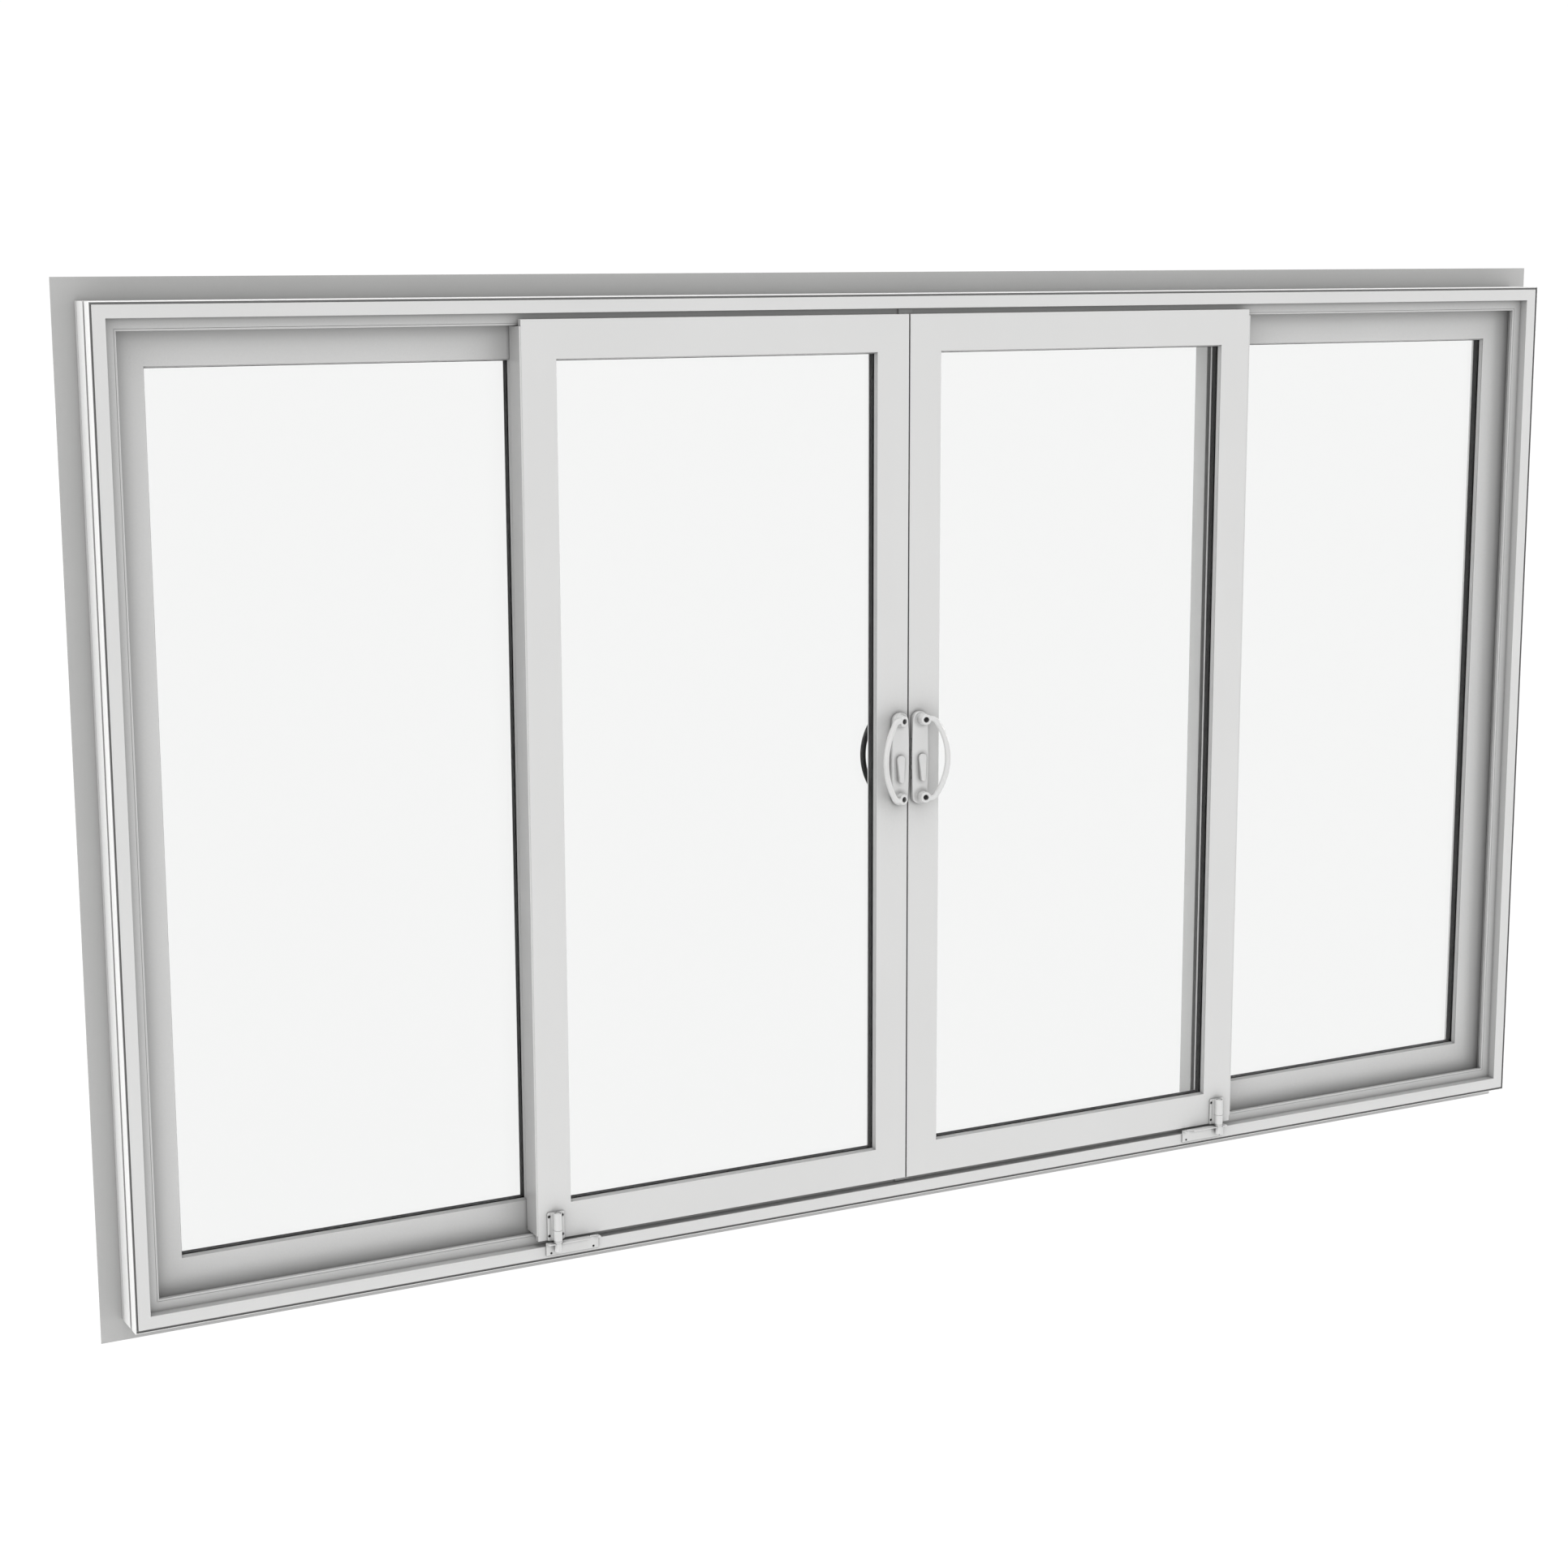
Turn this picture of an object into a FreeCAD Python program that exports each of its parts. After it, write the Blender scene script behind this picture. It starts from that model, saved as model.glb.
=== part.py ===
import FreeCAD, Part
import math
import os

# Four-panel sliding patio door, seen from inside the room: fixed, sliding, sliding, fixed.
# Millimetres. +X runs to the right seen from the room, +Y goes outdoors, +Z is up.
# The origin is the middle of the sill fin's mounting face, the face that looks into the room.

V = FreeCAD.Vector

# Outer frame, measured from its outer edge inwards and from the room face backwards
frame_w = 3658.0
frame_h = 2086.0
face_w = 33.0            # room face, from the outer edge to the first step
lip_w = 2.0              # thin lip outside the face groove, its outer edge bevelled
lip_cut = 1.2
face_groove_w = 4.0
face_groove_deep = 5.0
rib_set = 23.0           # the track rib stands this far behind the room face
rib_t = 10.0
rib_in = 58.0            # the rib's inner edge, from the outer edge
rib_line_in = 4.6        # scored line on the rib, from its inner edge
rib_line_w = 0.8
rib_line_deep = 1.0
fin_set = 102.0          # the fin's mounting face, behind the room face
frame_back = 33.0        # the frame stands out behind the fin's face
side_groove_at = 28.0    # accessory groove round the outside
side_groove_w = 12.0
side_groove_deep = 5.0
shadow_at = 87.0         # narrow line round the outside, in front of the fin
shadow_w = 1.5
shadow_deep = 1.5
edge_r = 1.2             # rounded edges of the room faces
edge_cut = 1.0           # bevelled edges out of sight from the room
mitre_past = 40.0        # how far the mitre cuts run on past the inner corner
cut_past = 1.0           # and past the section's front and back

# Nail fin, four strips snapped into a kerf round the frame
fin_w = 46.0
fin_t = 1.6
tongue_t = 0.8
tongue_in = 5.5
kerf_clear = 0.15

# Panels
panel_t = 45.5
panel_pitch = 58.6       # sliding panel's room face to fixed panel's room face
stile_w = 79.3
meeting_w = 80.6
top_rail_w = 82.6
bottom_rail_w = 79.4
head_gap = 12.2          # above the sliding panel, to the head's first step
sill_gap = 13.6
meeting_gap = 3.0
overlap_w = 79.5         # sliding outer stile over the fixed interlock stile
fixed_gap = 7.0          # fixed panel's edge to the frame's side wall
seat_clear = 0.3
slot_wall = 13.0         # room-side wall of the slot that straddles the rib
track_clear = 5.0        # rib to the slot's outdoor wall
slot_over_rib = 26.0     # slot ceiling above the sill rib, room for the rollers
head_slot_under_rib = 6.0
stop_clear = 2.4         # behind the fixed panel, to the frame's outdoor stop
ledge_gap = 8.0          # behind the sliding panel, to the frame's step up to the fixed one

# Insulated glass and its glazing
reveal = 4.0             # straight part of the reveal, then it slopes to the glass
slope_in = 3.0
glass_set = 11.0
lite_t = 4.0
spacer_t = 16.0
spacer_shows = 1.0       # spacer seen past the reveal's slope
glass_bite = 12.0
glass_edge_clear = 2.0
bead_clear = 0.3
bead_mitre_gap = 0.3
bead_slope = 0.8
lip_clear = 0.3
igu_t = 2 * lite_t + spacer_t

# Interlock strips on the stiles that overlap
cap_t = 3.2
cap_set = 0.8            # behind the panel's room face
hook_t = 1.9
hook_clear = 2.4
hook_lap = 5.0
cap_end_clear = 1.5

# Centre stops on the head's and the sill's rib
stop_w = 36.0
stop_t = 4.0
stop_margin = 1.5

# Handles: plate with bowed sides, two bosses, round grip that leans away from the meeting stile
handle_x = 25.4
handle_z = 1043.5        # from the sill's underside
plate_w = 43.0
plate_end_w = 38.5
plate_h = 213.0
plate_t = 12.5
plate_bevel = 1.2
latch_slots = ((995.0, 1017.0), (1028.0, 1047.0), (1060.0, 1090.0))  # their ends, from the sill's underside
latch_set = 3.4          # slots in the plates' meeting sides, from the panel's face
latch_w = 7.0
latch_deep = 7.0
boss_x = 28.5
boss_gap = 179.0         # hole to hole
boss_root_r = 14.0
boss_r = 12.3
boss_h = 34.0
boss_bevel = 1.5
hole_r = 5.2
hole_deep = 10.0
grip_r = 6.5
grip_root_r = 11.0       # up and down; the root is no thicker than the grip across
grip_rise = 1.5          # grip's run at the boss, beyond the hole's axis
grip_root_y = 28.0       # in front of the panel's face
grip_top_x = 81.0
grip_top_y = 41.5
outdoor_grip_top_x = 70.0
grip_bow_r = 144.0
grip_corner_r = 16.0

# Thumb levers
lever_r = 9.5
lever_tip_r = 5.0
lever_len = 48.0
lever_hub_h = 6.5
lever_tip_h = 12.0
lever_gap = 0.4

# Foot bolts and their strikes
bolt_inset = 41.0        # bolt's axis from the slider's outer edge
bolt_y = 13.5            # in front of the panel's face
bolt_r = 7.5
bolt_low = 22.0          # heights are from the sill's underside
bolt_top_set = 0.8       # bolt's top, below the barrel's
bolt_tip_bevel = 1.5
bore_clear = 0.15
barrel_r = 8.9
barrel_low = 43.5
barrel_top = 110.0
sleeve_r = 9.4           # lower part of the barrel
sleeve_top = 71.0
flare_r = 3.0
bolt_plate_w = 40.0
bolt_plate_t = 3.0
bolt_plate_low = 45.5
bolt_plate_corner = 2.0
bolt_hole_r = 2.9
bolt_hole_w = 31.0       # hole to hole across
bolt_hole_h = 44.0       # hole to hole up
bolt_hole_z = 78.6
strike_out = 23.7        # strike's end outside the bolt's axis
strike_len = 125.2
strike_t = 2.5
strike_low = 12.0
strike_top = 42.0
strike_corner = 3.0
flange_deep = 19.0
notch_clear = 2.2
vent_at = 86.0           # second notch, nearer the middle
strike_hole_r = 2.4
strike_hole_z = 16.6
strike_hole_in = 12.0    # from the strike's ends

# Sides of the many-sided forms that stand for round ones, which keeps the facets few
round_sides = 24
grip_sides = 14
corner_steps = 5
bow_steps = 12
flat_enough = 1e-5
hole_sides = 12

# Rollers
roller_r = 11.0
roller_w = 8.0
roller_gap = 0.3
roller_inset = 130.0
carriage_len = 70.0
carriage_h = 9.0
carriage_w = 19.4

# Places that follow from the sizes
half_w = frame_w / 2
frame_d = fin_set + frame_back
sill_z = fin_w / 2                      # underside of the sill
head_z = sill_z + frame_h               # top of the head
room_y = -fin_set                       # room face of the frame
panel_low = sill_z + face_w + sill_gap
panel_high = head_z - face_w - head_gap
slide_x0 = meeting_gap / 2
fixed_x1 = half_w - face_w - fixed_gap
slide_x1 = slide_x0 + (fixed_x1 - slide_x0 + overlap_w - cap_t) / 2
fixed_x0 = slide_x1 - overlap_w
fixed_y = room_y + panel_pitch
bolt_x = slide_x1 - bolt_inset
handle_mid = sill_z + handle_z

os.makedirs("parts", exist_ok=True)


def save(shape, name):
    shape.exportStep("parts/" + name + ".step")


def compound(shapes):
    return Part.makeCompound(shapes)


def box(x0, x1, y0, y1, z0, z1):
    return Part.makeBox(x1 - x0, y1 - y0, z1 - z0, V(x0, y0, z0))


def mirrored(shape):
    """The same piece on the other side of the door's centre line."""
    return shape.mirror(V(0, 0, 0), V(1, 0, 0))


def ring(centre, first, second, r, sides):
    """Corners of a many-sided ring that stands for a circle, in the plane of two square directions."""
    turns = [2 * math.pi * i / sides for i in range(sides)]
    return [centre + first * (r * math.cos(a)) + second * (r * math.sin(a)) for a in turns]


def tube(rings):
    """A solid bar through many-sided rings, each joined to the next by flat faces, split if twisted."""
    loops = [rings[0], rings[-1]]
    for near, far in zip(rings, rings[1:]):
        for i in range(len(near)):
            k = (i + 1) % len(near)
            quad = [near[i], near[k], far[k], far[i]]
            twist = (near[k] - near[i]).cross(far[i] - near[i]).dot(far[k] - near[i])
            loops += [quad] if abs(twist) < flat_enough else [quad[:3], [far[k], far[i], near[i]]]
    shell = Part.makeShell([Part.Face(Part.makePolygon(loop + loop[:1])) for loop in loops])
    shell.sewShape()
    solid = Part.makeSolid(shell)
    if solid.Volume < 0:
        solid.reverse()
    return solid


def drum(start, normal, length, r0, r1=None, sides=round_sides):
    """A round bar, upright or level, tapered if its two radii differ, as a many-sided solid."""
    r1 = r0 if r1 is None else r1
    first = V(0, 0, 1) if normal.z == 0 else V(1, 0, 0)
    second = normal.cross(first)
    end = start + normal * length
    return tube([ring(start, first, second, r0, sides), ring(end, first, second, r1, sides)])


def corner_arc(before, at, after, r):
    """The tangent arc that rounds the corner at a point, with its two ends."""
    a = (before - at).normalize()
    b = (after - at).normalize()
    half = math.acos(max(-1.0, min(1.0, a.dot(b)))) / 2
    reach = r / math.tan(half)
    start = at + a * reach
    end = at + b * reach
    middle_dir = (a + b).normalize()
    middle = at + middle_dir * (r / math.sin(half) - r)
    return start, middle, end


def outline(points, rounds=None, bevels=None):
    """A closed wire through 3-D points, with some of its corners rounded or bevelled."""
    rounds = rounds or {}
    bevels = bevels or {}
    count = len(points)
    edges = []
    last = None
    first = None
    for i, at in enumerate(points):
        before = points[i - 1]
        after = points[(i + 1) % count]
        start = at
        end = at
        if i in rounds:
            start, middle, end = corner_arc(before, at, after, rounds[i])
        elif i in bevels:
            start = at + (before - at).normalize() * bevels[i]
            end = at + (after - at).normalize() * bevels[i]
        if last is not None:
            edges.append(Part.LineSegment(last, start).toShape())
        else:
            first = start
        if i in rounds:
            edges.append(Part.Arc(start, middle, end).toShape())
        elif i in bevels:
            edges.append(Part.LineSegment(start, end).toShape())
        last = end
    edges.append(Part.LineSegment(last, first).toShape())
    return Part.Wire(edges)


def mitre_line(x, z, across, up):
    """From a frame's outer corner to its inner corner, then on at 45 degrees."""
    further_x = across + math.copysign(mitre_past, across)
    further_z = up + math.copysign(mitre_past, up)
    return [(x, z), (x + across, z + up), (x + further_x, z + further_z)]


def side_bar(side, rect, widths, profile, rounds=None, bevels=None, mitre_gap=0.0):
    """One mitred bar of a rectangular frame.

    rect is the frame's outer (x0, x1, z0, z1); widths are its bars' (left, right, bottom, top);
    profile is a list of (inwards from the outer edge, y). The mitres open by mitre_gap.
    """
    x0, x1, z0, z1 = rect
    left, right, bottom, top = widths
    place = {
        "left": lambda u, y: V(x0 + u, y, z0),
        "right": lambda u, y: V(x1 - u, y, z0),
        "bottom": lambda u, y: V(x0, y, z0 + u),
        "top": lambda u, y: V(x0, y, z1 - u),
    }[side]
    upright = side in ("left", "right")
    face = Part.Face(outline([place(u, y) for u, y in profile], rounds, bevels))
    bar = face.extrude(V(0, 0, z1 - z0) if upright else V(x1 - x0, 0, 0))
    gx, gz = (0.0, mitre_gap) if upright else (mitre_gap, 0.0)
    corners = {
        "bl": mitre_line(x0 + gx, z0 + gz, left, bottom),
        "br": mitre_line(x1 - gx, z0 + gz, -right, bottom),
        "tl": mitre_line(x0 + gx, z1 - gz, left, -top),
        "tr": mitre_line(x1 - gx, z1 - gz, -right, -top),
    }
    ends = {"left": ("bl", "tl"), "right": ("br", "tr"), "bottom": ("bl", "br"), "top": ("tl", "tr")}[side]
    loop = corners[ends[0]] + corners[ends[1]][::-1]
    ys = [y for u, y in profile]
    low = min(ys) - cut_past
    high = max(ys) + cut_past
    wedge_wire = Part.makePolygon([V(x, low, z) for x, z in loop + loop[:1]])
    wedge = Part.Face(wedge_wire).extrude(V(0, high - low, 0))
    return bar.common(wedge).Solids[0]


def frame_profile(seat):
    """Section of the outer frame, with the fixed panel's seat that far from the outer edge."""
    y = room_y
    g0 = lip_w
    g1 = lip_w + face_groove_w
    s0 = rib_in - rib_line_in
    stop_y = fixed_y + panel_t + stop_clear
    back = y + frame_d
    tongue_y = (fin_t - tongue_t) / 2 - kerf_clear
    kerf_y = tongue_y + tongue_t + 2 * kerf_clear
    kerf_in = tongue_in + kerf_clear
    seat_y = y + panel_t + ledge_gap
    groove_y = y + side_groove_at
    shadow_y = y + shadow_at
    points = [
        (0, y), (g0, y), (g0, y + face_groove_deep), (g1, y + face_groove_deep), (g1, y),
        (face_w, y), (face_w, y + rib_set),
        (s0, y + rib_set), (s0, y + rib_set + rib_line_deep),
        (s0 + rib_line_w, y + rib_set + rib_line_deep), (s0 + rib_line_w, y + rib_set),
        (rib_in, y + rib_set), (rib_in, y + rib_set + rib_t), (face_w, y + rib_set + rib_t),
        (face_w, seat_y), (seat, seat_y), (seat, stop_y), (rib_in, stop_y), (rib_in, back), (0, back),
        (0, kerf_y), (kerf_in, kerf_y), (kerf_in, tongue_y), (0, tongue_y),
        (0, shadow_y + shadow_w), (shadow_deep, shadow_y + shadow_w),
        (shadow_deep, shadow_y), (0, shadow_y),
        (0, groove_y + side_groove_w), (side_groove_deep, groove_y + side_groove_w),
        (side_groove_deep, groove_y), (0, groove_y),
    ]
    # Face groove's inner edge, face's inner edge, rib's edge; then the lip, the rib's and the frame's back
    rounds = {4: edge_r, 5: edge_r, 11: edge_r}
    bevels = {0: lip_cut, 12: edge_cut, 18: edge_cut, 19: edge_cut}
    return points, rounds, bevels


def make_frame():
    rect = (-half_w, half_w, sill_z, head_z)
    seats = {
        "sill": ("bottom", panel_low - seat_clear - sill_z),
        "head": ("top", head_z - panel_high - seat_clear),
        "left_jamb": ("left", half_w - fixed_x1 - seat_clear),
        "right_jamb": ("right", half_w - fixed_x1 - seat_clear),
    }
    for name, (side, seat) in seats.items():
        points, rounds, bevels = frame_profile(seat)
        save(side_bar(side, rect, (face_w,) * 4, points, rounds, bevels), name)


def make_fins():
    """Thin strips whose tongues sit in the frame's kerf. Their room side is the mounting face."""
    y0 = (fin_t - tongue_t) / 2
    y1 = y0 + tongue_t
    rect = (-half_w - fin_w, half_w + fin_w, sill_z - fin_w, head_z + fin_w)
    root = fin_w + tongue_in
    profile = [
        (0, 0), (fin_w, 0), (fin_w, y0), (root, y0),
        (root, y1), (fin_w, y1), (fin_w, fin_t), (0, fin_t),
    ]
    bars = {side: side_bar(side, rect, (fin_w,) * 4, profile) for side in ("left", "right", "bottom", "top")}
    save(bars["bottom"], "sill_fin")
    save(bars["top"], "head_fin")
    save(compound([bars["left"], bars["right"]]), "jamb_fins")


def sash_profile(y, w):
    """Section of a panel's bar: square outside, glazing rebate open to the outdoors."""
    return [
        (0, y), (w, y), (w, y + reveal), (w + slope_in, y + glass_set - lip_clear),
        (w - glass_bite, y + glass_set - lip_clear), (w - glass_bite, y + panel_t), (0, y + panel_t),
    ]


def make_panel(name, rect, widths, y, names, cuts):
    """Four mitred bars, outdoor glazing beads, two lites of glass and the spacer between them."""
    x0, x1, z0, z1 = rect
    rounds = {0: edge_r, 1: edge_r}
    bevels = {5: edge_cut, 6: edge_cut}
    for side, w in zip(("left", "right", "bottom", "top"), widths):
        bar = side_bar(side, rect, widths, sash_profile(y, w), rounds, bevels)
        if cuts:
            bar = bar.cut(compound(cuts)).Solids[0]
        save(bar, name + "_" + names[side])
    left, right, bottom, top = widths
    # Glass edges reach into the rebate
    bite = glass_bite - glass_edge_clear
    gx0 = x0 + left - bite
    gx1 = x1 - right + bite
    gz0 = z0 + bottom - bite
    gz1 = z1 - top + bite
    inner_y = y + glass_set
    outer_y = inner_y + lite_t + spacer_t
    lites = [box(gx0, gx1, face, face + lite_t, gz0, gz1) for face in (inner_y, outer_y)]
    save(compound(lites), name + "_glass")
    ring = box(gx0, gx1, inner_y + lite_t, outer_y, gz0, gz1)
    s = bite + slope_in + spacer_shows
    ring = ring.cut(box(gx0 + s, gx1 - s, inner_y, outer_y + lite_t, gz0 + s, gz1 - s))
    save(ring, name + "_spacer")
    # Outdoor beads hold the glass in the rebate
    bead_y0 = outer_y + lite_t + bead_clear
    bead_y1 = y + panel_t - bead_slope
    b = glass_bite - bead_clear
    bead_rect = (x0 + left - b, x1 - right + b, z0 + bottom - b, z1 - top + b)
    bead_w = b + slope_in
    profile = [(0, bead_y0), (bead_w, bead_y0), (b, bead_y1), (0, bead_y1)]
    sides = ("left", "right", "bottom", "top")
    beads = [side_bar(side, bead_rect, (bead_w,) * 4, profile, mitre_gap=bead_mitre_gap) for side in sides]
    save(compound(beads), name + "_beads")


def slider_slots():
    """Slots along the top and bottom of both sliding panels, which straddle the track ribs."""
    y0 = room_y + slot_wall
    y1 = room_y + rib_set + rib_t + track_clear
    low = box(-half_w, half_w, y0, y1, sill_z, sill_z + rib_in + slot_over_rib)
    high = box(-half_w, half_w, y0, y1, head_z - rib_in - head_slot_under_rib, head_z)
    return [low, high]


def make_panels():
    for hand, flip in (("left", True), ("right", False)):
        outer, inner = ("left", "right") if flip else ("right", "left")
        slide = (-slide_x1, -slide_x0) if flip else (slide_x0, slide_x1)
        fixed = (-fixed_x1, -fixed_x0) if flip else (fixed_x0, fixed_x1)
        rails = {"bottom": "bottom_rail", "top": "top_rail"}
        widths = (stile_w, meeting_w) if flip else (meeting_w, stile_w)
        make_panel(hand + "_slider", slide + (panel_low, panel_high), widths + (bottom_rail_w, top_rail_w),
                   room_y, dict(rails, **{outer: "outer_stile", inner: "meeting_stile"}), slider_slots())
        make_panel(hand + "_fixed", fixed + (panel_low, panel_high),
                   (stile_w, stile_w, bottom_rail_w, top_rail_w),
                   fixed_y, dict(rails, **{outer: "jamb_stile", inner: "interlock_stile"}), [])


def make_centre_stops():
    """Blocks on the ribs, where the two sliding panels meet."""
    half = stop_w / 2
    y1 = room_y + rib_set
    low = sill_z + face_w + stop_margin
    high = head_z - face_w - stop_margin
    tall = rib_in - face_w - 2 * stop_margin
    sill_stop = box(-half, half, y1 - stop_t, y1, low, low + tall)
    head_stop = box(-half, half, y1 - stop_t, y1, high - tall, high)
    save(compound([sill_stop, head_stop]), "centre_stops")


def make_interlocks():
    """Hooked strips: the slider's cap strip engages the fixed panel's strip when it is shut."""
    z0 = sill_z + rib_in + cap_end_clear
    z1 = head_z - rib_in - cap_end_clear
    back = room_y + panel_t
    front = fixed_y
    leg_x = slide_x1 + cap_t
    lip_y = back + 2 * hook_clear + hook_t
    lip_x = leg_x - hook_t - hook_clear - hook_lap
    cap_y = room_y + cap_set
    cap = [
        (slide_x1, cap_y), (leg_x, cap_y), (leg_x, lip_y + hook_t), (lip_x, lip_y + hook_t),
        (lip_x, lip_y), (leg_x - hook_t, lip_y), (leg_x - hook_t, back), (slide_x1, back),
    ]
    keep_y = back + hook_clear
    tip_x = leg_x - hook_t - hook_clear
    root_x = lip_x - hook_clear
    keep = [
        (tip_x, keep_y), (tip_x, keep_y + hook_t), (root_x, keep_y + hook_t), (root_x, front),
        (root_x - hook_t, front), (root_x - hook_t, keep_y),
    ]
    for name, points in (("slider_interlock", cap), ("fixed_interlock", keep)):
        strip = Part.Face(outline([V(x, y, z0) for x, y in points])).extrude(V(0, 0, z1 - z0))
        save(strip, "right_" + name)
        save(mirrored(strip), "left_" + name)


def handle_plate(face_y, out):
    """Long plate with bowed sides and round ends, its front edge bevelled."""
    side = plate_w / 2
    end = plate_end_w / 2
    tip = plate_h / 2
    straight = tip - end

    def at(dx, dz):
        return V(handle_x + dx, face_y, handle_mid + dz)

    arcs = [
        (at(-end, -straight), at(0, -tip), at(end, -straight)),
        (at(end, -straight), at(side, 0), at(end, straight)),
        (at(end, straight), at(0, tip), at(-end, straight)),
        (at(-end, straight), at(-side, 0), at(-end, -straight)),
    ]
    wire = Part.Wire([Part.Arc(*three).toShape() for three in arcs])
    plate = Part.Face(wire).extrude(V(0, out * plate_t, 0))
    front = face_y + out * plate_t
    rim = [e for e in plate.Edges if abs(e.CenterOfMass.y - front) < plate_bevel / 2]
    return plate.makeChamfer(plate_bevel, rim)


def boss(foot, out, lean):
    """Tapered boss that carries one end of the grip, its front square to the grip's plane."""
    up = V(0, 0, 1)
    front = foot + V(0, out * boss_h, 0)
    across = up.cross(lean)
    return tube([
        ring(foot, up, V(-out, 0, 0), boss_root_r, round_sides),
        ring(front - lean * boss_bevel, up, across, boss_r, round_sides),
        ring(front, up, across, boss_r - boss_bevel, round_sides),
    ])


def grip_run(face_y, out, top_x):
    """Middle of the grip's roots, the direction in which it leaves them, and its reach."""
    root = V(boss_x, face_y + out * grip_root_y, handle_mid)
    reach = V(top_x, face_y + out * grip_top_y, handle_mid).sub(root)
    return root, V(reach).normalize(), reach.Length


def grip(root, across, reach):
    """Round bar: out from one boss, a tight corner, a long bow, a corner and back to the other boss."""
    up = V(0, 0, 1)
    axis = up.cross(across)

    def at(u, z):
        return root + across * u + up * z

    run_z = boss_gap / 2 + grip_rise
    bow_u = reach - grip_bow_r
    corner_z = run_z - grip_corner_r
    between = grip_bow_r - grip_corner_r
    corner_u = bow_u + math.sqrt(between ** 2 - corner_z ** 2)
    turn = math.acos(corner_z / between)
    corner = [turn * i / corner_steps for i in range(corner_steps + 1)]
    bow = [turn + (math.pi - 2 * turn) * i / bow_steps for i in range(1, bow_steps)]
    # Height and reach of each bend's centre, its radius and the turns at which it has a ring
    bends = [
        (corner_z, corner_u, grip_corner_r, corner),
        (0, bow_u, grip_bow_r, bow),
        (-corner_z, corner_u, grip_corner_r, [math.pi - a for a in reversed(corner)]),
    ]
    flat = axis * (grip_r / grip_root_r)
    rings = [ring(at(0, run_z), flat, up, grip_root_r, grip_sides)]
    for z, u, r, angles in bends:
        for a in angles:
            outwards = up * math.cos(a) + across * math.sin(a)
            rings.append(ring(at(u, z) + outwards * r, axis, outwards, grip_r, grip_sides))
    rings.append(ring(at(0, -run_z), flat, up * -1, grip_root_r, grip_sides))
    return tube(rings)


def handle(face_y, out, top_x, bored):
    """Plate, bosses and grip in one piece. The indoor one is bored for its screws and has latch slots."""
    root, across, reach = grip_run(face_y, out, top_x)
    lean = V(0, 0, out).cross(across)
    feet = [V(boss_x, face_y, handle_mid + dz) for dz in (-boss_gap / 2, boss_gap / 2)]
    bosses = [boss(foot, out, lean) for foot in feet]
    body = handle_plate(face_y, out).fuse(bosses + [grip(root, across, reach)])
    if bored:
        floor = V(0, out * boss_h, 0) - lean * hole_deep
        holes = [drum(foot + floor, lean, hole_deep, hole_r) for foot in feet]
        x1 = handle_x - plate_w / 2 + latch_deep
        y1 = face_y - latch_set
        slots = [box(0, x1, y1 - latch_w, y1, sill_z + z0, sill_z + z1) for z0, z1 in latch_slots]
        body = body.cut(compound(holes + slots))
    return body.removeSplitter().Solids[0]


def make_handles():
    indoor = handle(room_y, -1, grip_top_x, True)
    outdoor = handle(room_y + panel_t, 1, outdoor_grip_top_x, False)
    save(indoor, "right_indoor_handle")
    save(mirrored(indoor), "left_indoor_handle")
    save(outdoor, "right_outdoor_handle")
    save(mirrored(outdoor), "left_outdoor_handle")


def make_levers():
    """Teardrop thumb lever on the plate: round hub, tip standing further out."""
    z0 = handle_mid
    y0 = room_y - plate_t - lever_gap
    lean = math.asin((lever_r - lever_tip_r) / lever_len)
    c = math.cos(lean)
    s = math.sin(lean)
    tip_z = z0 - lever_len
    left_top = V(boss_x - lever_r * c, y0, z0 - lever_r * s)
    right_top = V(boss_x + lever_r * c, y0, z0 - lever_r * s)
    left_low = V(boss_x - lever_tip_r * c, y0, tip_z - lever_tip_r * s)
    right_low = V(boss_x + lever_tip_r * c, y0, tip_z - lever_tip_r * s)
    wire = Part.Wire([
        Part.Arc(left_top, V(boss_x, y0, z0 + lever_r), right_top).toShape(),
        Part.LineSegment(right_top, right_low).toShape(),
        Part.Arc(right_low, V(boss_x, y0, tip_z - lever_tip_r), left_low).toShape(),
        Part.LineSegment(left_low, left_top).toShape(),
    ])
    body = Part.Face(wire).extrude(V(0, -lever_tip_h, 0))
    top_z = z0 + lever_r
    low_z = tip_z - lever_tip_r
    wedge = Part.Face(Part.makePolygon([
        V(0, y0 - lever_hub_h, top_z), V(0, y0 - lever_tip_h, low_z), V(0, y0 - 2 * lever_tip_h, low_z),
        V(0, y0 - 2 * lever_tip_h, top_z), V(0, y0 - lever_hub_h, top_z),
    ])).extrude(V(2 * boss_x, 0, 0))
    lever = body.cut(wedge).Solids[0]
    save(lever, "right_thumb_lever")
    save(mirrored(lever), "left_thumb_lever")


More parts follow.
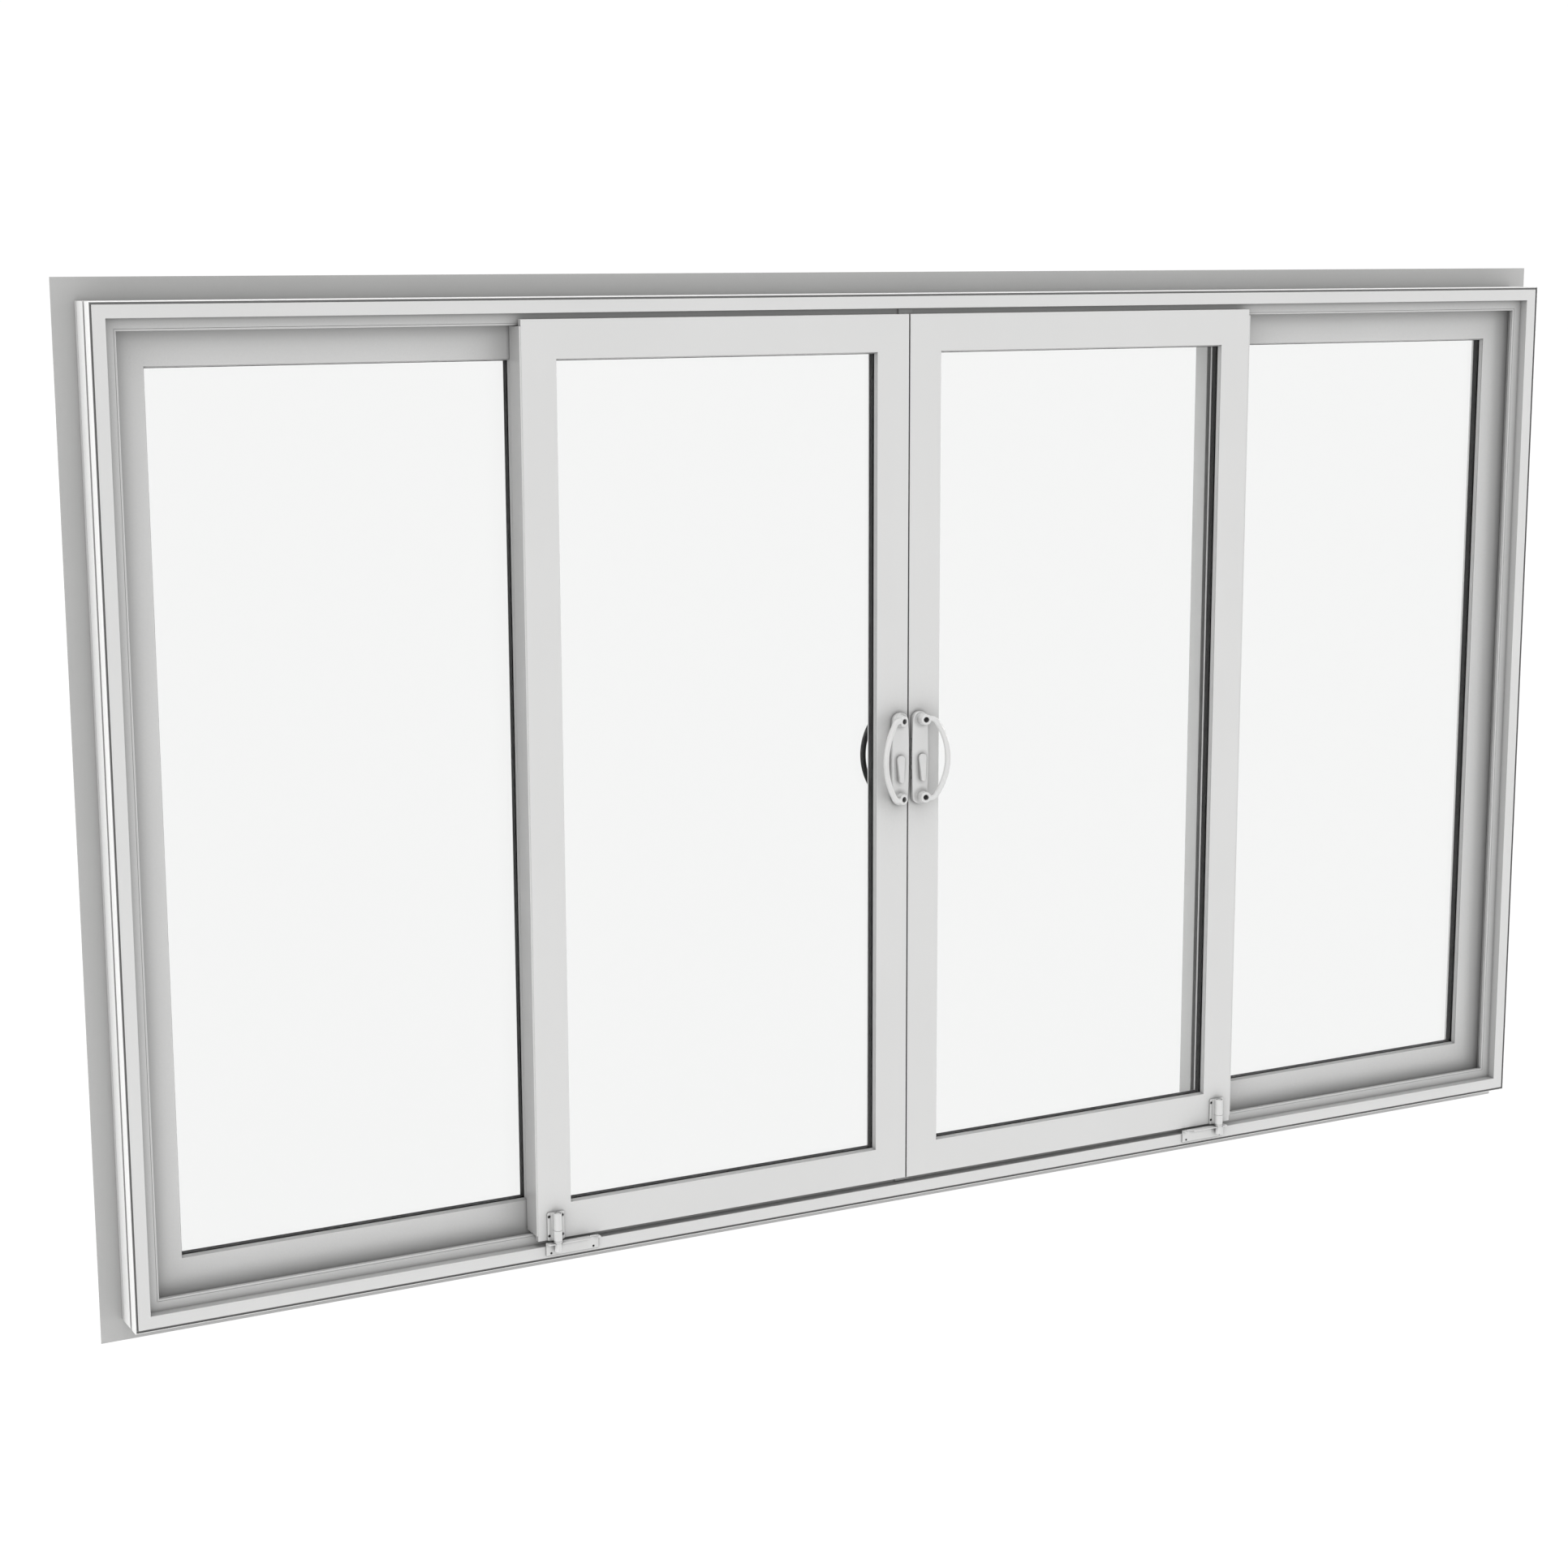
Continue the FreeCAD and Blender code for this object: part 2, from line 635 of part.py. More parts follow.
def bolt_body():
    """Screw plate that flares into a barrel, with a slightly wider sleeve at the barrel's foot."""
    x, y = bolt_x, room_y - bolt_y
    low = sill_z + barrel_low
    top = sill_z + barrel_top
    plate_low = sill_z + bolt_plate_low
    half = bolt_plate_w / 2
    front = room_y - bolt_plate_t
    up = V(0, 0, 1)
    points = [
        (x - half, room_y), (x + half, room_y), (x + half, front), (x + barrel_r + flare_r, front),
        (x + barrel_r, front - flare_r), (x + barrel_r, y), (x - barrel_r, y),
        (x - barrel_r, front - flare_r), (x - barrel_r - flare_r, front), (x - half, front),
    ]
    flare = outline([V(px, py, plate_low) for px, py in points])
    body = Part.Face(flare).extrude(V(0, 0, top - plate_low))
    corners = [e for e in body.Edges if abs(e.BoundBox.YLength - bolt_plate_t) < bore_clear
               and abs(e.CenterOfMass.x - x) > half - bore_clear]
    body = body.makeChamfer(bolt_plate_corner, corners)
    barrel = drum(V(x, y, low), up, top - low, barrel_r)
    sleeve = drum(V(x, y, low), up, sleeve_top - barrel_low, sleeve_r)
    body = body.fuse([barrel, sleeve])
    cuts = [drum(V(x, y, low), up, top - low, bolt_r + bore_clear)]
    for dx in (-bolt_hole_w / 2, bolt_hole_w / 2):
        for dz in (-bolt_hole_h / 2, bolt_hole_h / 2):
            at = V(x + dx, front, sill_z + bolt_hole_z + dz)
            cuts.append(drum(at, V(0, 1, 0), bolt_plate_t, bolt_hole_r, sides=hole_sides))
    return body.cut(compound(cuts)).removeSplitter().Solids[0]


def foot_bolt():
    """Round bolt with a bevelled tip, seen in the barrel's open top."""
    at = V(bolt_x, room_y - bolt_y, sill_z + bolt_low)
    up = V(0, 0, 1)
    length = barrel_top - bolt_top_set - bolt_low - bolt_tip_bevel
    tip = drum(at, up, bolt_tip_bevel, bolt_r - bolt_tip_bevel, bolt_r)
    shank = drum(at + up * bolt_tip_bevel, up, length, bolt_r)
    return tip.fuse(shank).removeSplitter().Solids[0]


def strike():
    """Angle on the sill's room face; its flange is notched round the bolt, and once more further in."""
    x1 = bolt_x + strike_out
    x0 = x1 - strike_len
    top = sill_z + strike_top
    front = room_y - flange_deep
    up = V(0, 0, 1)
    leg = box(x0, x1, room_y - strike_t, room_y, sill_z + strike_low, top)
    plan = [V(x0, room_y, top), V(x1, room_y, top), V(x1, front, top), V(x0, front, top)]
    flange = Part.Face(outline(plan, None, {2: strike_corner, 3: strike_corner})).extrude(V(0, 0, -strike_t))
    cuts = []
    for x in (bolt_x, bolt_x - vent_at):
        at = V(x, room_y - bolt_y, top - strike_t)
        cuts.append(drum(at, up, strike_t, bolt_r + notch_clear))
    for x in (x0 + strike_hole_in, x1 - strike_hole_in):
        at = V(x, room_y - strike_t, sill_z + strike_hole_z)
        cuts.append(drum(at, V(0, 1, 0), strike_t, strike_hole_r, sides=hole_sides))
    return leg.fuse(flange).cut(compound(cuts)).removeSplitter().Solids[0]


def make_foot_bolts():
    for shape, name in ((bolt_body(), "foot_bolt_body"), (foot_bolt(), "foot_bolt")):
        save(shape, "right_" + name)
        save(mirrored(shape), "left_" + name)
    right = strike()
    save(compound([right, mirrored(right)]), "foot_bolt_strikes")


def make_rollers():
    """Two carriages in the bottom rail's slot, with wheels that run on the sill rib."""
    rib_y = room_y + rib_set + rib_t / 2
    rib_z = sill_z + rib_in
    top = rib_z + slot_over_rib - seat_clear
    pieces = []
    for x in (slide_x0 + roller_inset, slide_x1 - roller_inset):
        centre = V(x, rib_y - roller_w / 2, rib_z + roller_gap + roller_r)
        wheel = drum(centre, V(0, 1, 0), roller_w, roller_r)
        corner = V(x - carriage_len / 2, rib_y - carriage_w / 2, top - carriage_h)
        carriage = Part.makeBox(carriage_len, carriage_w, carriage_h, corner)
        pieces.append(carriage.fuse(wheel).removeSplitter().Solids[0])
    save(compound(pieces), "right_rollers")
    save(mirrored(compound(pieces)), "left_rollers")


make_frame()
make_fins()
make_panels()
make_centre_stops()
make_interlocks()
make_handles()
make_levers()
make_foot_bolts()
make_rollers()
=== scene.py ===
import math

import bmesh
import bpy
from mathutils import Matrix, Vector


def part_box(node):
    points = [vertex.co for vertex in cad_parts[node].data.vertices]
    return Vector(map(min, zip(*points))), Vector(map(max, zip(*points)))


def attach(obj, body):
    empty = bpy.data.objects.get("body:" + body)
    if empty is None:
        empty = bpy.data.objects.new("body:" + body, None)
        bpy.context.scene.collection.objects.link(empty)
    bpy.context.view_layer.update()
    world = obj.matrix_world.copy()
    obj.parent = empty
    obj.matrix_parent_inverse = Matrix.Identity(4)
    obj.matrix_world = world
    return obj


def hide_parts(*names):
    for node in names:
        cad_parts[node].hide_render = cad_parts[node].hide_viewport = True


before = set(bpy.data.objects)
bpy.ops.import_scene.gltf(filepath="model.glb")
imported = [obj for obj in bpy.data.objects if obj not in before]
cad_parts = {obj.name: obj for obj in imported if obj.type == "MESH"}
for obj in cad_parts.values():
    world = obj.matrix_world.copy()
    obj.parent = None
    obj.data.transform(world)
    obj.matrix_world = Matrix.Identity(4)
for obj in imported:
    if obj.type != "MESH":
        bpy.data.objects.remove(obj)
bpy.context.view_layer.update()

# Sizes and places, in metres. Heights are from the sill's underside.
MM = 0.001
UP = Vector((0, 0, 1))
ROOMWARD = Vector((0, -1, 0))
HANDS = (("left", -1), ("right", 1))
ROUND = 48                    # sides of a turned shape
SHARP_EDGE = math.radians(35)

# The door's own faces
SILL_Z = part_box("sill")[0].z
ROOM_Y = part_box("sill")[0].y
FRAME_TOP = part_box("head")[1].z
FRAME_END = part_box("right_jamb")[1].x
PANEL_BACK_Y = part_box("right_slider_meeting_stile")[1].y

# Handles: the face that each sits on and the way out from it, then plate, bosses and grip
INDOOR = (ROOM_Y, -1)
OUTDOOR = (PANEL_BACK_Y, 1)
HANDLE_Z = SILL_Z + 1043.5 * MM
HOLES_APART = 179.0 * MM
PLATE_X = 25.4 * MM
PLATE_HALF_W = 21.5 * MM
PLATE_END_R = 19.25 * MM
PLATE_HALF_H = 106.5 * MM
PLATE_T = 12.5 * MM
PLATE_EDGE_R = 1.6 * MM
LATCH_SLOTS = ((995.0, 1017.0), (1028.0, 1047.0), (1060.0, 1090.0))
LATCH_SET = 3.4 * MM
LATCH_W = 7.0 * MM
LATCH_DEEP = 7.0 * MM
BOSS_X = 28.5 * MM
BOSS_H = 34.0 * MM
BOSS_ROOT_R = 14.0 * MM
BOSS_R = 12.3 * MM
BOSS_EDGE_R = 2.2 * MM
BOSS_HOLE_R = 6.2 * MM
BOSS_HOLE_DEEP = 10.0 * MM
GRIP_R = 6.5 * MM
GRIP_ROOT_R = 11.0 * MM
GRIP_ROOT_STEPS = 8
GRIP_ROOT_SWELL = 1.5         # how soon the root's height fades into the bar
GRIP_RISE = 1.5 * MM
GRIP_ROOT_Y = 28.0 * MM
GRIP_TOP_X = 81.0 * MM
OUTDOOR_GRIP_TOP_X = 70.0 * MM
GRIP_TOP_Y = 41.5 * MM
GRIP_BOW_R = 144.0 * MM
GRIP_CORNER_R = 16.0 * MM
PULL_VOXEL = 0.8 * MM         # grain in which the casting is melted together
PULL_SOFTNESS = 5             # rounds of smoothing
PULL_FACES = 34000

# Thumb levers
LEVER_R = 9.5 * MM
LEVER_TIP_R = 5.0 * MM
LEVER_LEN = 48.0 * MM
LEVER_HUB_H = 6.5 * MM
LEVER_TIP_H = 12.0 * MM
LEVER_GAP = 0.4 * MM
LEVER_EDGE_R = 1.6 * MM

# Foot bolts: round bolt, barrel with a sleeve, and mounting plate
BOLT_LOW_CORNER, BOLT_HIGH_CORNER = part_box("right_foot_bolt")
BOLT_X = (BOLT_LOW_CORNER.x + BOLT_HIGH_CORNER.x) / 2
BOLT_Y = (BOLT_LOW_CORNER.y + BOLT_HIGH_CORNER.y) / 2
BOLT_R = 7.5 * MM
BOLT_LOW = 22.0 * MM
BOLT_TOP_SET = 0.8 * MM
BOLT_NOSE_R = 2.0 * MM
BORE_R = 7.65 * MM
BARREL_R = 8.9 * MM
BARREL_LOW = 43.5 * MM
BARREL_TOP = 110.0 * MM
SLEEVE_R = 9.4 * MM
SLEEVE_TOP = 71.0 * MM
JOINT_FOOT = 3.5 * MM         # joint line above the barrel's foot
JOINT_W = 0.7 * MM
JOINT_DEEP = 0.5 * MM
FLARE_R = 3.0 * MM
BOLT_PLATE_W = 40.0 * MM
BOLT_PLATE_T = 3.0 * MM
BOLT_PLATE_LOW = 45.5 * MM
BOLT_PLATE_CORNER = 2.0 * MM
BOLT_HOLE_R = 3.2 * MM
BOLT_HOLE_W = 31.0 * MM
BOLT_HOLE_H = 44.0 * MM
BOLT_HOLE_Z = 78.6 * MM
BOLT_SCREW_SET = 1.6 * MM     # a screw's seat below its face
BOLT_CUT_PAST = 4.0 * MM      # how far a cutting shape runs past what it cuts
HOUSING_VOXEL = 0.45 * MM
HOUSING_SOFTNESS = 3
HOUSING_FACES = 30000

# Strikes: notched angles on the sill
STRIKE_OUT = 23.7 * MM
STRIKE_LEN = 125.2 * MM
STRIKE_T = 2.5 * MM
STRIKE_LOW = 12.0 * MM
STRIKE_TOP = 42.0 * MM
STRIKE_CORNER = 3.0 * MM
STRIKE_EDGE_R = 0.5 * MM
FLANGE_DEEP = 19.0 * MM
NOTCH_R = 9.7 * MM
VENT_AT = 86.0 * MM
STRIKE_HOLE_R = 2.4 * MM
STRIKE_HOLE_Z = 16.6 * MM
STRIKE_HOLE_IN = 12.0 * MM
STRIKE_SCREW_SET = 1.3 * MM
STRIKE_CUT_PAST = 3.0 * MM

# Screws, in millimetres
BOSS_SCREW = {
    "Head Radius": 4.7, "Rim Height": 1.0, "Crown Height": 1.2,
    "Crown Radius": 3.6, "Socket Radius": 2.3, "Socket Depth": 1.8,
}
PLATE_SCREW = {
    "Head Radius": 2.8, "Rim Height": 0.3, "Crown Height": 0.5,
    "Crown Radius": 2.2, "Socket Radius": 1.4, "Socket Depth": 0.6,
}
STRIKE_SCREW = {
    "Head Radius": 2.3, "Rim Height": 0.3, "Crown Height": 0.4,
    "Crown Radius": 1.8, "Socket Radius": 1.2, "Socket Depth": 0.5,
}
SCREW_SIDES = 28
SOCKET_SIDES = 6
SCREW_SLOT = "roller"

# Painted shade in recesses: how far a recess darkens the colour around it, how steeply, and the darkest
# share of the colour:
# on the bars broad steps, then narrow gaps and grooves
BAR_RECESS = ((0.2, 4.0, 0.58), (0.008, 1.0, 0.4))
FIN_RECESS = ((0.09, 0.8, 0.6),)
CASTING_RECESS = ((0.012, 1.6, 0.15),)
RECESS_SAMPLES = 4

# Painted shade on the fin above the frame: the share of colour kept there, and where that shade fades in
# and out
FIN_PAINTED_SHADE = 0.90
SHADE_FROM_Z = FRAME_TOP - 50.0 * MM
SHADE_TO_Z = FRAME_TOP + 10.0 * MM
SHADE_TO_X = FRAME_END - 100.0 * MM
SHADE_END_X = FRAME_END + 40.0 * MM

# The spacer's grey face ends and the sealant begins so far from its middle
SPACER_REACH = 10.0 * MM
SPACER_FACE = 5.0 * MM
SEALANT_FROM = 6.2 * MM

WHITE_DARK = (0.655, 0.655, 0.650)
WHITE_LIGHT = (0.672, 0.672, 0.667)
# Fins: the bars' white vinyl in a darker grey, painted shade for the fins set back behind the frame
FIN_DARK = (0.475, 0.475, 0.47)
FIN_LIGHT = (0.49, 0.49, 0.485)
PAINT_DARK = (0.645, 0.645, 0.64)
PAINT_LIGHT = (0.665, 0.665, 0.66)
BLACK_DARK = (0.010, 0.010, 0.010)
BLACK_LIGHT = (0.016, 0.016, 0.016)
SPACER_GREY = (0.016, 0.016, 0.016)
SEALANT_BLACK = (0.001, 0.001, 0.001)
STEEL_DARK = (0.03, 0.03, 0.03)
STEEL_LIGHT = (0.048, 0.048, 0.048)
NYLON_DARK = (0.018, 0.018, 0.018)
NYLON_LIGHT = (0.035, 0.035, 0.035)

# Camera, light and floor
CAMERA_AT = (-3.2751, -5.6232, 2.1851)
CAMERA_TURN = (1.3890203, 0.0032601, -0.4919877)
CAMERA_LENS = 65.63
CAMERA_SENSOR = 36.0
CAMERA_REACH = 200.0
DOME_SEEN = 1.02
DOME_LIGHT = 0.40
LAMP_WIDTH = math.radians(40)
# Where each wide soft light stands and its strength: four light the door's room side,
# three its outer sides, from beside and above
LAMPS = (
    ("front_light", (-0.25, -0.93, 0.27), 0.52),
    ("left_light", (-0.80, -0.58, 0.10), 0.25),
    ("right_light", (0.80, -0.58, 0.10), 0.25),
    ("top_light", (0.0, -0.43, 0.90), 0.40),
    ("left_side_light", (-0.98, 0.16, 0.10), 2.5),
    ("right_side_light", (0.98, 0.16, 0.10), 2.5),
    ("top_side_light", (0.0, 0.16, 0.98), 3.1),
)
FLOOR_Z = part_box("sill_fin")[0].z
FLOOR_HALF = 60.0


# Materials


def new_material(name):
    """A new material, its node tree and its main shader."""
    material = bpy.data.materials.new(name)
    material.use_nodes = True
    shader = material.node_tree.nodes["Principled BSDF"]
    return material, material.node_tree, shader


def maths(tree, operation, *values):
    """The result of one operation on numbers and sockets."""
    node = tree.nodes.new("ShaderNodeMath")
    node.operation = operation
    for socket, value in zip(node.inputs, values):
        if isinstance(value, (int, float)):
            socket.default_value = value
        else:
            tree.links.new(value, socket)
    return node.outputs["Value"]


def object_coordinates(tree, scale=(1.0, 1.0, 1.0)):
    """Object coordinates stretched by a different amount along each axis."""
    place = tree.nodes.new("ShaderNodeTexCoord")
    stretch = tree.nodes.new("ShaderNodeMapping")
    stretch.inputs["Scale"].default_value = scale
    tree.links.new(place.outputs["Object"], stretch.inputs["Vector"])
    return stretch.outputs["Vector"]


def object_axes(tree):
    """Object coordinates as three numbers, by axis."""
    parts = tree.nodes.new("ShaderNodeSeparateXYZ")
    tree.links.new(object_coordinates(tree), parts.inputs["Vector"])
    return parts.outputs


def noise(tree, vector, scale, detail=3.0, roughness=0.5):
    """A cloudy grain."""
    grain = tree.nodes.new("ShaderNodeTexNoise")
    grain.inputs["Scale"].default_value = scale
    grain.inputs["Detail"].default_value = detail
    grain.inputs["Roughness"].default_value = roughness
    tree.links.new(vector, grain.inputs["Vector"])
    return grain.outputs["Fac"]


def spread(tree, value, low, high, source_low=0.3, source_high=0.7):
    """A value carried from one range to another, and held within it."""
    node = tree.nodes.new("ShaderNodeMapRange")
    node.inputs["From Min"].default_value = source_low
    node.inputs["From Max"].default_value = source_high
    node.inputs["To Min"].default_value = low
    node.inputs["To Max"].default_value = high
    tree.links.new(value, node.inputs["Value"])
    return node.outputs["Result"]


def blend_colours(tree, value, dark, light, source_low=0.3, source_high=0.7):
    """A texture's value turned into a colour between two."""
    ramp = tree.nodes.new("ShaderNodeValToRGB")
    ramp.color_ramp.elements[0].position = source_low
    ramp.color_ramp.elements[0].color = (*dark, 1.0)
    ramp.color_ramp.elements[1].position = source_high
    ramp.color_ramp.elements[1].color = (*light, 1.0)
    tree.links.new(value, ramp.inputs["Fac"])
    return ramp.outputs["Color"]


def dim(tree, colour, share):
    """A share of a colour."""
    node = tree.nodes.new("ShaderNodeVectorMath")
    node.operation = "SCALE"
    tree.links.new(colour, node.inputs["Vector"])
    tree.links.new(share, node.inputs["Scale"])
    return node.outputs["Vector"]


def paint_recess_shade(tree, colour, layers):
    """Painted shade: a colour made deeper by ambient occlusion in grooves, gaps and inner corners.

    Each layer is (reach, steepness, the darkest share of the colour).
    """
    for reach, steepness, darkest in layers:
        open_sky = tree.nodes.new("ShaderNodeAmbientOcclusion")
        open_sky.samples = RECESS_SAMPLES
        open_sky.inputs["Distance"].default_value = reach
        power = maths(tree, "POWER", open_sky.outputs["AO"], steepness)
        colour = dim(tree, colour, spread(tree, power, darkest, 1.0, 0.0, 1.0))
    return colour


def bump(tree, shader, height, strength, distance):
    """Fine relief on a finish."""
    node = tree.nodes.new("ShaderNodeBump")
    node.inputs["Strength"].default_value = strength
    node.inputs["Distance"].default_value = distance
    tree.links.new(height, node.inputs["Height"])
    tree.links.new(node.outputs["Normal"], shader.inputs["Normal"])


def vinyl(name, along, dark, light, gloss, recess):
    """White extruded vinyl: faint die lines along the bar, a slight ripple and a fine grain."""
    material, tree, shader = new_material(name)
    stretch = [60.0, 60.0, 60.0]
    stretch["XYZ".index(along)] = 0.6
    die_lines = noise(tree, object_coordinates(tree, stretch), scale=4.0)
    cloud = noise(tree, object_coordinates(tree), scale=3.0)
    grain = noise(tree, object_coordinates(tree), scale=900.0, detail=1.0)
    colour = blend_colours(tree, cloud, dark, light)
    # Painted shade: the vinyl's colour is darkened in its recesses
    tree.links.new(paint_recess_shade(tree, colour, recess), shader.inputs["Base Color"])
    tree.links.new(spread(tree, die_lines, *gloss), shader.inputs["Roughness"])
    grain_share = 0.35
    ripple = maths(tree, "MULTIPLY_ADD", grain, grain_share, die_lines)
    bump(tree, shader, ripple, strength=0.05, distance=0.0004)
    shader.inputs["IOR"].default_value = 1.5
    return material


def shade_fin_above_frame(material):
    """Paint shade on the fin above the frame, fading out at its two upper corners."""
    tree = material.node_tree
    socket = tree.nodes["Principled BSDF"].inputs["Base Color"]
    colour = socket.links[0].from_socket
    axes = object_axes(tree)
    out = maths(tree, "ABSOLUTE", axes["X"])
    above = spread(tree, axes["Z"], 0.0, 1.0, SHADE_FROM_Z, SHADE_TO_Z)
    inside = spread(tree, out, 1.0, 0.0, SHADE_TO_X, SHADE_END_X)
    both = maths(tree, "MULTIPLY", above, inside)
    tree.links.new(dim(tree, colour, spread(tree, both, 1.0, FIN_PAINTED_SHADE, 0.0, 1.0)), socket)


def satin_paint(name, dark, light, gloss, shine):
    """Powder coat on a casting: a fine orange-peel surface."""
    material, tree, shader = new_material(name)
    peel = noise(tree, object_coordinates(tree), scale=700.0, detail=2.0)
    cloud = noise(tree, object_coordinates(tree), scale=25.0)
    colour = blend_colours(tree, cloud, dark, light)
    # Painted shade: the paint's colour is darkened in its recesses
    tree.links.new(paint_recess_shade(tree, colour, CASTING_RECESS), shader.inputs["Base Color"])
    tree.links.new(spread(tree, peel, *gloss), shader.inputs["Roughness"])
    shader.inputs["Specular IOR Level"].default_value = shine
    bump(tree, shader, peel, strength=0.08, distance=0.0004)
    return material


def float_glass(name):
    """Clear float glass, with the faintest roller wave."""
    material, tree, shader = new_material(name)
    shader.inputs["Base Color"].default_value = (0.915, 0.917, 0.915, 1.0)
    shader.inputs["Roughness"].default_value = 0.0
    shader.inputs["Specular Tint"].default_value = (0.18, 0.18, 0.18, 1.0)
    shader.inputs["Transmission Weight"].default_value = 1.0
    shader.inputs["IOR"].default_value = 1.5
    wave = noise(tree, object_coordinates(tree, (1.0, 1.0, 0.3)), scale=2.0, detail=1.0)
    bump(tree, shader, wave, strength=0.02, distance=0.0005)
    return material


def spacer_band(name, middle):
    """Warm-edge spacer: black sealant beside each lite, a grey ribbed face between."""
    material, tree, shader = new_material(name)
    away = maths(tree, "ABSOLUTE", maths(tree, "SUBTRACT", object_axes(tree)["Y"], middle))
    share = maths(tree, "MULTIPLY", away, 1 / SPACER_REACH)
    colour = blend_colours(tree, share, SPACER_GREY, SEALANT_BLACK,
                           SPACER_FACE / SPACER_REACH, SEALANT_FROM / SPACER_REACH)
    tree.links.new(colour, shader.inputs["Base Color"])
    ribs = tree.nodes.new("ShaderNodeTexWave")
    ribs.bands_direction = "Y"
    ribs.inputs["Scale"].default_value = 160.0
    tree.links.new(object_coordinates(tree), ribs.inputs["Vector"])
    bump(tree, shader, ribs.outputs["Fac"], strength=0.2, distance=0.0003)
    shader.inputs["Roughness"].default_value = 0.55
    shader.inputs["Specular IOR Level"].default_value = 0.2
    return material


def dark_steel(name):
    """Blackened steel with turned marks."""
    material, tree, shader = new_material(name)
    marks = noise(tree, object_coordinates(tree), scale=2500.0, detail=2.0)
    tree.links.new(blend_colours(tree, marks, STEEL_DARK, STEEL_LIGHT), shader.inputs["Base Color"])
    tree.links.new(spread(tree, marks, 0.3, 0.5), shader.inputs["Roughness"])
    shader.inputs["Metallic"].default_value = 0.8
    bump(tree, shader, marks, strength=0.1, distance=0.0001)
    return material


def soft_black(name):
    """Black nylon with a fine grain."""
    material, tree, shader = new_material(name)
    grain = noise(tree, object_coordinates(tree), scale=1200.0, detail=2.0)
    tree.links.new(blend_colours(tree, grain, NYLON_DARK, NYLON_LIGHT), shader.inputs["Base Color"])
    shader.inputs["Roughness"].default_value = 0.6
    bump(tree, shader, grain, strength=0.15, distance=0.0002)
    return material


def pale_floor(name):
    """A floor that is white by its own light."""
    material, tree, shader = new_material(name)
    shader.inputs["Base Color"].default_value = (0.05, 0.05, 0.05, 1.0)
    shader.inputs["Roughness"].default_value = 0.9
    shader.inputs["Specular IOR Level"].default_value = 0.0
    shader.inputs["Emission Color"].default_value = (1.0, 1.0, 1.0, 1.0)
    shader.inputs["Emission Strength"].default_value = 1.0
    return material


upright_vinyl = vinyl("upright_white_vinyl", "Z", WHITE_DARK, WHITE_LIGHT, (0.30, 0.40), BAR_RECESS)
level_vinyl = vinyl("level_white_vinyl", "X", WHITE_DARK, WHITE_LIGHT, (0.30, 0.40), BAR_RECESS)
upright_fin = vinyl("upright_fin_vinyl", "Z", FIN_DARK, FIN_LIGHT, (0.4, 0.5), FIN_RECESS)
level_fin = vinyl("level_fin_vinyl", "X", FIN_DARK, FIN_LIGHT, (0.4, 0.5), FIN_RECESS)
shade_fin_above_frame(upright_fin)
shade_fin_above_frame(level_fin)
white_paint = satin_paint("white_satin_paint", PAINT_DARK, PAINT_LIGHT, gloss=(0.28, 0.40), shine=0.5)
black_paint = satin_paint("black_satin_paint", BLACK_DARK, BLACK_LIGHT, gloss=(0.25, 0.38), shine=0.2)
glass = float_glass("clear_float_glass")
steel = dark_steel("blackened_steel")
nylon = soft_black("black_nylon")


def finish_node(name):
    """The material of one carried-over CAD piece."""
    if name.endswith("_glass"):
        return glass
    if name.endswith("_spacer"):
        low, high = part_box(name)
        return spacer_band(name + "_band", (low.y + high.y) / 2)
    if name == "jamb_fins":
        return upright_fin
    if name.endswith("_fin"):
        return level_fin
    if name.endswith("outdoor_handle"):
        return black_paint
    if "handle" in name or "lever" in name or "foot_bolt" in name:
        return white_paint
    if name.endswith("_rollers"):
        return nylon
    if "stile" in name or "jamb" in name or "interlock" in name:
        return upright_vinyl
    return level_vinyl


for name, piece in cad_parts.items():
    piece.data.materials.clear()
    piece.data.materials.append(finish_node(name))


# Shapes


def shell(mesh, rings):
    """A closed skin through rings of points, capped at both ends."""
    loops = [[mesh.verts.new(at) for at in ring] for ring in rings]
    count = len(loops[0])
    for near, far in zip(loops, loops[1:]):
        for i in range(count):
            k = (i + 1) % count
            mesh.faces.new((near[i], near[k], far[k], far[i]))
    mesh.faces.new(loops[0])
    mesh.faces.new(loops[-1])


def upright_bar(mesh, plan, low, high):
    """A straight bar between two heights, from its outline seen from above."""
    shell(mesh, [[Vector((x, y, z)) for x, y in plan] for z in (low, high)])


def circle(centre, first, second, r_first, r_second, sides=ROUND):
    """Points of an ellipse in the plane of two square directions."""
    turns = [2 * math.pi * i / sides for i in range(sides)]
    return [centre + first * (r_first * math.cos(a)) + second * (r_second * math.sin(a)) for a in turns]


def lathe(mesh, foot, axis, profile):
    """A turned shape: profile is a list of (distance along the axis, radius)."""
    first = axis.orthogonal().normalized()
    second = axis.cross(first)
    shell(mesh, [circle(foot + axis * t, first, second, r, r) for t, r in profile])


def drill(mesh, start, out, depth, r, below, above):
    """A round hole up to a face, widened at 45 degrees from below the face to above it."""
    lathe(mesh, start, out, [(0, r), (depth - below, r), (depth + above, r + below + above)])


